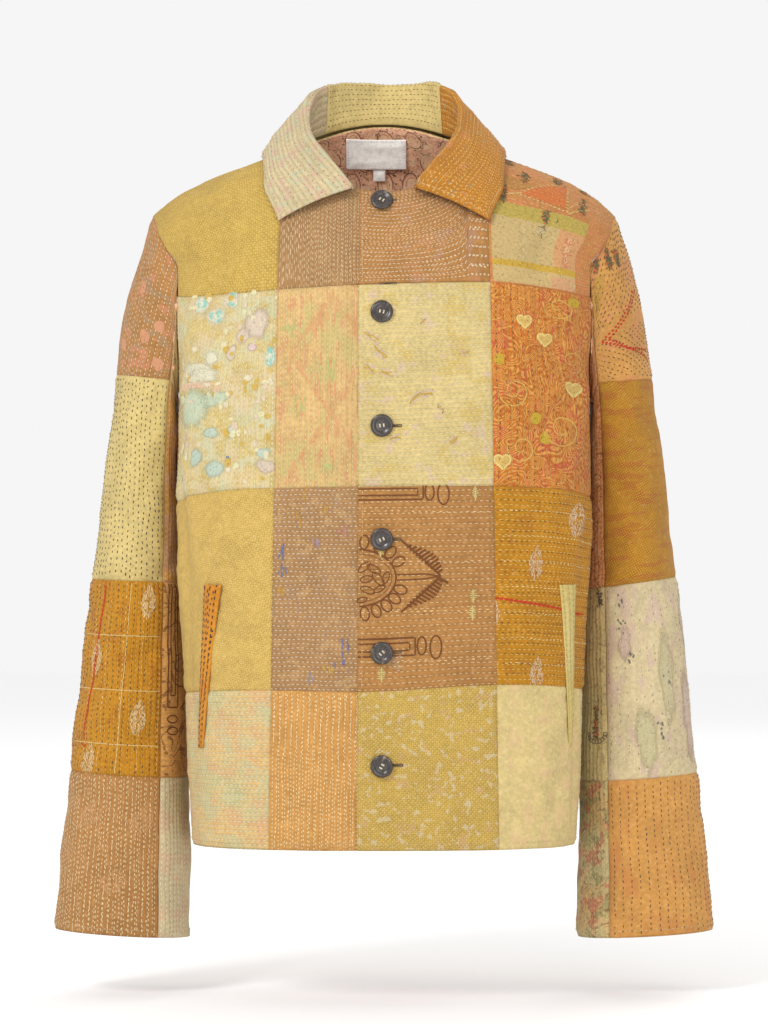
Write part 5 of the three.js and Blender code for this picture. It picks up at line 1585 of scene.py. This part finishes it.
def moved_inward(surface, depth):
    """The same surface, moved toward the inside of the jacket."""
    def inner(u, v):
        near = SURFACE_STEP
        outward = np.cross(surface(u + near, v) - surface(u - near, v),
                surface(u, v + near) - surface(u, v - near))
        outward /= np.maximum(np.linalg.norm(outward, axis=-1, keepdims=True), 1e-9)
        return surface(u, v) - outward * depth
    return inner


def turned_inside(surface):
    """The same surface seen from the inside of the jacket, so that its face looks the other way."""
    return lambda u, v: surface(1 - u, v)


yoke_surface = body_surface(BACK, BACK_SEAMS, 0, -BACK_COLUMN, BACK_COLUMN)
YOKE_START = (37 - 28) / (90 - 28)
lining = Patch("cloth_back_lining", turned_inside(moved_inward(
    lambda u, v: yoke_surface(u, lerp(YOKE_START, 1, v)), CLOTH + 1.2)), 2.6, swell=(16, 16),
    swell_depth=0.25, seed=210,
    dip=0)
patches["back_lining"] = lining
finish_cloth(lining, "back_lining", "lining_print", lining_material)
lining.piece.modifiers["cloth"].thickness = LINING * MM
LINE = (132, 94, 78)
paisley = Print(lining, lift=0.2)
random = np.random.default_rng(31)
w, h = lining.width, lining.height
for column in range(5):
    for line in range(5):
        x = (column + 0.5 + 0.4 * (line % 2)) * w / 5 + random.normal(0, 2)
        y = (line + 0.5) * h / 5 + random.normal(0, 2)
        if not (10 < x < w - 10 and 10 < y < h - 8):
            continue
        lean = random.uniform(-30, 30) + 180 * (line % 2)
        # The pale paisley fill runs past 255 too, painted light like the lining.
        paisley.spot(x, y, 7, 11, (272, 222, 176), turn=lean, outline=lambda a: 1 - 0.4 * np.sin(a))
        paisley.loop(x, y, 8, 12, 0.9, LINE, turn=lean)
        paisley.loop(x, y, 4.5, 7, 0.7, (196, 112, 90), turn=lean)
        for dot in range(9):
            angle = 2 * math.pi * dot / 9
            paisley.spot(x + 11 * math.cos(angle), y + 14 * math.sin(angle), 0.9, 0.9, LINE)
for y in (0.2 * h, 0.24 * h):
    paisley.line([(4, y), (w / 2, y + 3), (w - 4, y)], 0.8, LINE)
paisley.finish()

# Painted light: the label is dyed past white to make up for the collar's shade over it.
label_material = cloth_material("woven_label", (292, 290, 284), (286, 284, 277), wear=0.0, seed=4)
for node, x0, x1, z0, z1, thickness in LABEL_LOOKS:
    def surface(u, v, x0=x0, x1=x1, z0=z0, z1=z1):
        x = lerp(x0, x1, u)
        x, v = np.broadcast_arrays(x, v)
        level = level_at(BACK, np.abs(x), lerp(z0, z1, v))
        point = body_point(BACK, x / (2 * column_x(level)), level)
        return point + np.array([0, -CLOTH - 5.2 + (1.2 if z1 < 0 else 0), 0])
    label = Patch("cloth_" + node, surface, 1.2, swell=(16, 16), swell_depth=0.08, seed=220, dip=0.1)
    patches[node] = label
    finish_cloth(label, node, "woven_label", label_material, inside=label_material)
    label.piece.modifiers["cloth"].thickness = thickness * MM
label = patches["neck_label"]
edge_rows = []
for y in (1.6, label.height - 1.6):
    for x in np.arange(3, label.width - 2, 3.0):
        edge_rows.append((x, y, 0.0))
for x in (1.6, label.width - 1.6):
    for y in np.arange(3, label.height - 2, 3.0):
        edge_rows.append((x, y, math.pi / 2))
edge_rows = np.array(edge_rows)
count = len(edge_rows)
sew("stitches_neck_label", label, "woven_label", edge_rows[:, :2], edge_rows[:, 2], np.full(count, 2.0),
    np.full(count, 0.45), np.tile(dye(226, 220, 206), (count, 1)))

# ---- Edge stitching ----
# A single row of stitches holds each folded edge: the opening, the collar, the hem and the cuffs.
EDGE_ROWS = [
    *[(f"front_left_centre_{row}", "left", 4.0) for row in range(1, 5)],
    *[(f"collar_{part}", "top", 4.5) for part in ("right", "back", "left")],
    ("collar_right", "left", 4.0), ("collar_left", "right", 4.0),
    *[(f"front_{part}_4", "bottom", 6.0) for part in ("right_side", "right_centre", "left_centre",
            "left_side")],
    *[(f"back_{part}_4", "bottom", 6.0) for part in ("right", "centre", "left")],
    *[(f"sleeve_{side}_{part}_4", "bottom", 6.0) for side in ("right", "left")
      for part in ("outer", "under")],
]
for number, (node, side, inset) in enumerate(EDGE_ROWS):
    patch = patches[node]
    w, h = patch.width, patch.height
    starts = {"left": ((inset, 3), (inset, h - 3)), "right": ((w - inset, 3), (w - inset, h - 3)),
              "bottom": ((3, inset), (w - 3, inset)), "top": ((3, h - inset), (w - 3, h - inset))}
    start, end = (np.array(corner, float) for corner in starts[side])
    steps = int(np.linalg.norm(end - start) / 4.4)
    run = (np.arange(steps) + 0.5) / steps
    middles = start + run[:, None] * (end - start)
    random = np.random.default_rng(number)
    middles = middles + random.normal(0, 0.12, middles.shape)
    turns = np.full(steps, math.atan2(*(end - start)[::-1])) + random.normal(0, 0.05, steps)
    shade = np.array(dye(222, 192, 140)) * random.uniform(0.85, 1.1, (steps, 1))
    shade[:, 3] = 1
    sew(f"edge_stitches_{number + 1}", patch, patch.piece["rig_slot"], middles, turns,
        random.uniform(2.4, 3.0, steps), np.full(steps, 0.65), shade)

# ---- Buttons ----
# Turned dark horn with a raised rim and four holes, each held by crossed thread, beside its buttonhole.
BUTTON_X = -2
TOP_BUTTON_Z = -51
BUTTON_PITCH = 104.7
HOLE_OFFSET = 2.5
HOLE_RADIUS = 1.05
BUTTON_LIFT = 1.0
# The turned profile from the middle of the face out, over the rim and under, as (radius, height).
PROFILE = [(4.9, 1.9), (5.6, 2.05), (6.3, 2.5), (7.4, 3.0), (8.6, 3.25), (9.6, 3.05), (10.3, 2.4),
        (10.5, 1.6),
           (10.2, 0.7), (9.2, 0.15), (7.5, 0.0)]
horn, tree, shader = new_material("horn")
at_object = wire(tree, "TexCoord").outputs["Object"]
streak = wire(tree, "Mapping", {"Vector": at_object, "Scale": (1, 1, 0.6), "Rotation": (0.3, 0.8, 0.5)})
cloudy = wire(tree, "TexNoise", {
    "Vector": streak.outputs[0], "Scale": 95, "Detail": 4.0, "Distortion": 1.2}).outputs[0]
fine = wire(tree, "TexNoise", {"Vector": streak.outputs[0], "Scale": 500, "Detail": 3.0}).outputs[0]
dark = blend(tree, ramp(tree, fine, 0.35, 0.65), dye(44, 36, 34), dye(70, 58, 52))
marbled = blend(tree, ramp(tree, cloudy, 0.6, 0.74), dark, dye(168, 142, 118))
tree.links.new(marbled, shader.inputs["Base Color"])
tree.links.new(ramp(tree, fine, 0.3, 0.7, 0.22, 0.36), shader.inputs["Roughness"])
tree.links.new(wire(tree, "Bump", {"Strength": 0.15, "Distance": 0.0002, "Height": fine}).outputs[0],
               shader.inputs["Normal"])
shader.inputs["Coat Weight"].default_value = 0.3
shader.inputs["Coat Roughness"].default_value = 0.15


def button_frame(z):
    """The place and turn of a button at a height on the wearer's left front."""
    level = level_at(FRONT, np.array(0.0), np.array(float(z)))
    share = BUTTON_X / (2 * column_x(level))
    at = body_point(FRONT, share, level)
    across = body_point(FRONT, share + 0.02, level) - body_point(FRONT, share - 0.02, level)
    upward = body_point(FRONT, share, level + 4) - body_point(FRONT, share, level - 4)
    outward = Vector(np.cross(across, upward)).normalized()
    place = Vector(at) + outward * BUTTON_LIFT
    turn = outward.to_track_quat("Z", "Y").to_matrix().to_4x4()
    return Matrix.Scale(MM, 4) @ Matrix.Translation(place) @ turn


for number in range(6):
    placed = button_frame(TOP_BUTTON_Z - number * BUTTON_PITCH)
    bm = bmesh.new()
    rim = [bm.verts.new((radius, 0, height)) for radius, height in PROFILE]
    edges = [bm.edges.new(pair) for pair in zip(rim, rim[1:])]
    bmesh.ops.spin(bm, geom=rim + edges, cent=(0, 0, 0), axis=(0, 0, 1), angle=2 * math.pi, steps=48,
            use_merge=True)
    face_loop = [e for e in bm.edges if e.is_boundary and all(v.co.z > 1.5 for v in e.verts)]
    back_loop = [e for e in bm.edges if e.is_boundary and all(v.co.z < 0.1 for v in e.verts)]
    bmesh.ops.contextual_create(bm, geom=back_loop)
    hole_edges = []
    for hole in range(4):
        turn = math.pi / 4 + hole * math.pi / 2
        centre = Matrix.Translation((HOLE_OFFSET * math.cos(turn), HOLE_OFFSET * math.sin(turn), 1.9))
        ring = bmesh.ops.create_circle(bm, segments=14, radius=HOLE_RADIUS, matrix=centre)["verts"]
        hole_edges.append([e for e in bm.edges if e.is_boundary and all(v in ring for v in e.verts)]
                or list({e for v in ring for e in v.link_edges}))
    bmesh.ops.triangle_fill(bm, edges=face_loop + [e for ring in hole_edges for e in ring], use_beauty=True)
    for ring in hole_edges:
        walls = bmesh.ops.extrude_edge_only(bm, edges=ring)["geom"]
        low_verts = [g for g in walls if isinstance(g, bmesh.types.BMVert)]
        bmesh.ops.translate(bm, verts=low_verts, vec=(0, 0, -1.4))
        bmesh.ops.contextual_create(bm, geom=[g for g in walls if isinstance(g, bmesh.types.BMEdge)
                and all(v in low_verts for v in g.verts)])
    bmesh.ops.recalc_face_normals(bm, faces=bm.faces)
    bm.transform(placed @ Matrix.Rotation(0.3 * number - 0.5, 4, "Z"))
    mesh = bpy.data.meshes.new(f"horn_button_{number + 1}")
    bm.to_mesh(mesh)
    bm.free()
    mesh.polygons.foreach_set("use_smooth", [True] * len(mesh.polygons))
    mesh.materials.append(horn)
    button = placed_object(mesh.name, mesh)
    sharp = button.modifiers.new("edges", "EDGE_SPLIT")
    sharp.split_angle = math.radians(50)
    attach(button, "root")
    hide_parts(f"button_{number + 1}")
    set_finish(button, "horn")

    # Two parallel stitches of cream thread through the four holes.
    bm = bmesh.new()
    for side in (-1, 1):
        for strand in (-0.35, 0.35):
            reach = HOLE_OFFSET * math.cos(math.pi / 4)
            made = bmesh.ops.create_cone(bm, segments=8, radius1=0.4, radius2=0.4, depth=2 * reach,
                    cap_ends=True)["verts"]
            bmesh.ops.subdivide_edges(bm, edges=[e for e in {e for v in made for e in v.link_edges}
                    if abs(e.verts[0].co.z - e.verts[1].co.z) > 1], cuts=6)
            strand_verts = [v for v in bm.verts if not v.tag]
            for v in strand_verts:
                v.tag = True
                along = v.co.z / reach
                rise = 2.15 - 1.5 * max(abs(along) - 0.55, 0) ** 1.4
                v.co = Vector((v.co.x + side * reach + strand, v.co.z, v.co.y + rise))
    bm.transform(placed @ Matrix.Rotation(0.3 * number - 0.5, 4, "Z"))
    thread_points = [tuple(v.co) for v in bm.verts]
    coloured_mesh(f"button_thread_{number + 1}", bm, thread_points,
            [dye(226, 212, 184)] * len(thread_points),
                  thread_material, "horn")

    # The buttonhole runs out past the button's edge: a slit between two rows of close stitches, its opening a
    # near-black strip of painted shade.
    z = TOP_BUTTON_Z - number * BUTTON_PITCH
    row = min(range(4), key=lambda r: abs(z - (-90, -226, -410, -580)[r]))
    patch = patches[f"front_left_centre_{row + 1}"]
    grid_x, grid_y = np.meshgrid(np.linspace(0, patch.width, 90), np.linspace(0, patch.height, 160))
    there = patch.laid(grid_x, grid_y) / MM
    nearest = np.unravel_index(np.argmin(np.hypot(there[..., 0] - BUTTON_X, there[..., 2] - z)),
            grid_x.shape)
    hole_x, hole_y = grid_x[nearest], grid_y[nearest]
    slit_x = np.arange(hole_x - 3, hole_x + 18.5, 0.75)
    slit = np.stack([np.concatenate([slit_x, slit_x]), np.concatenate([
        np.full(slit_x.size, hole_y + 0.9), np.full(slit_x.size, hole_y - 0.9)])], axis=-1)
    bars = np.array([(hole_x + 18.6, hole_y + y) for y in (-0.9, -0.3, 0.3, 0.9)])
    middles = np.concatenate([slit, bars, [(hole_x + 8, hole_y)]])
    turns = np.concatenate([np.full(len(slit), math.pi / 2), np.zeros(4), [0]])
    lengths = np.concatenate([np.full(len(slit), 1.7), np.full(4, 1.6), [20]])
    widths = np.concatenate([np.full(len(slit), 0.7), np.full(4, 0.7), [0.5]])
    colours = np.tile(dye(108, 84, 56), (len(middles), 1))
    # Painted shade: the long middle strip is near black, standing for the shadow in the open slit.
    colours[-1] = dye(30, 24, 20)
    sew(f"buttonhole_{number + 1}", patch, "front_patches", middles, turns, lengths, widths, colours)

# ---- Stage and light ----
# A plain pale floor under soft, nearly shadowless studio light.
floor_mesh = bpy.data.meshes.new("floor")
bm = bmesh.new()
bmesh.ops.create_grid(bm, x_segments=1, y_segments=1, size=6)
bmesh.ops.translate(bm, verts=bm.verts, vec=(0, 2, -0.8))
bm.to_mesh(floor_mesh)
bm.free()
floor = placed_object("floor", floor_mesh)
pale, tree, shader = new_material("pale_floor")
shader.inputs["Base Color"].default_value = (0.97, 0.97, 0.97, 1)
shader.inputs["Roughness"].default_value = 0.9
floor_mesh.materials.append(pale)
world = bpy.data.worlds.new("studio")
world.use_nodes = True
world.node_tree.nodes["Background"].inputs[0].default_value = (1, 1, 1, 1)
world.node_tree.nodes["Background"].inputs[1].default_value = 0.92
scene.world = world
scene.view_settings.view_transform = "Standard"
for name, place, size, power in [
        ("key_light", (-1.9, -2.9, 2.1), 1.2, 76), ("front_light", (1.1, -4.3, 0.1), 1.6, 32),
        ("back_light", (1.8, 3.2, 2.0), 1.8, 30)]:
    lamp = bpy.data.lights.new(name, "AREA")
    lamp.size = size
    lamp.energy = power
    light = bpy.data.objects.new(name, lamp)
    light.location = place
    light.rotation_euler = (Vector((0, 0, -0.3)) - Vector(place)).to_track_quat("-Z", "Y").to_euler()
    scene.collection.objects.link(light)
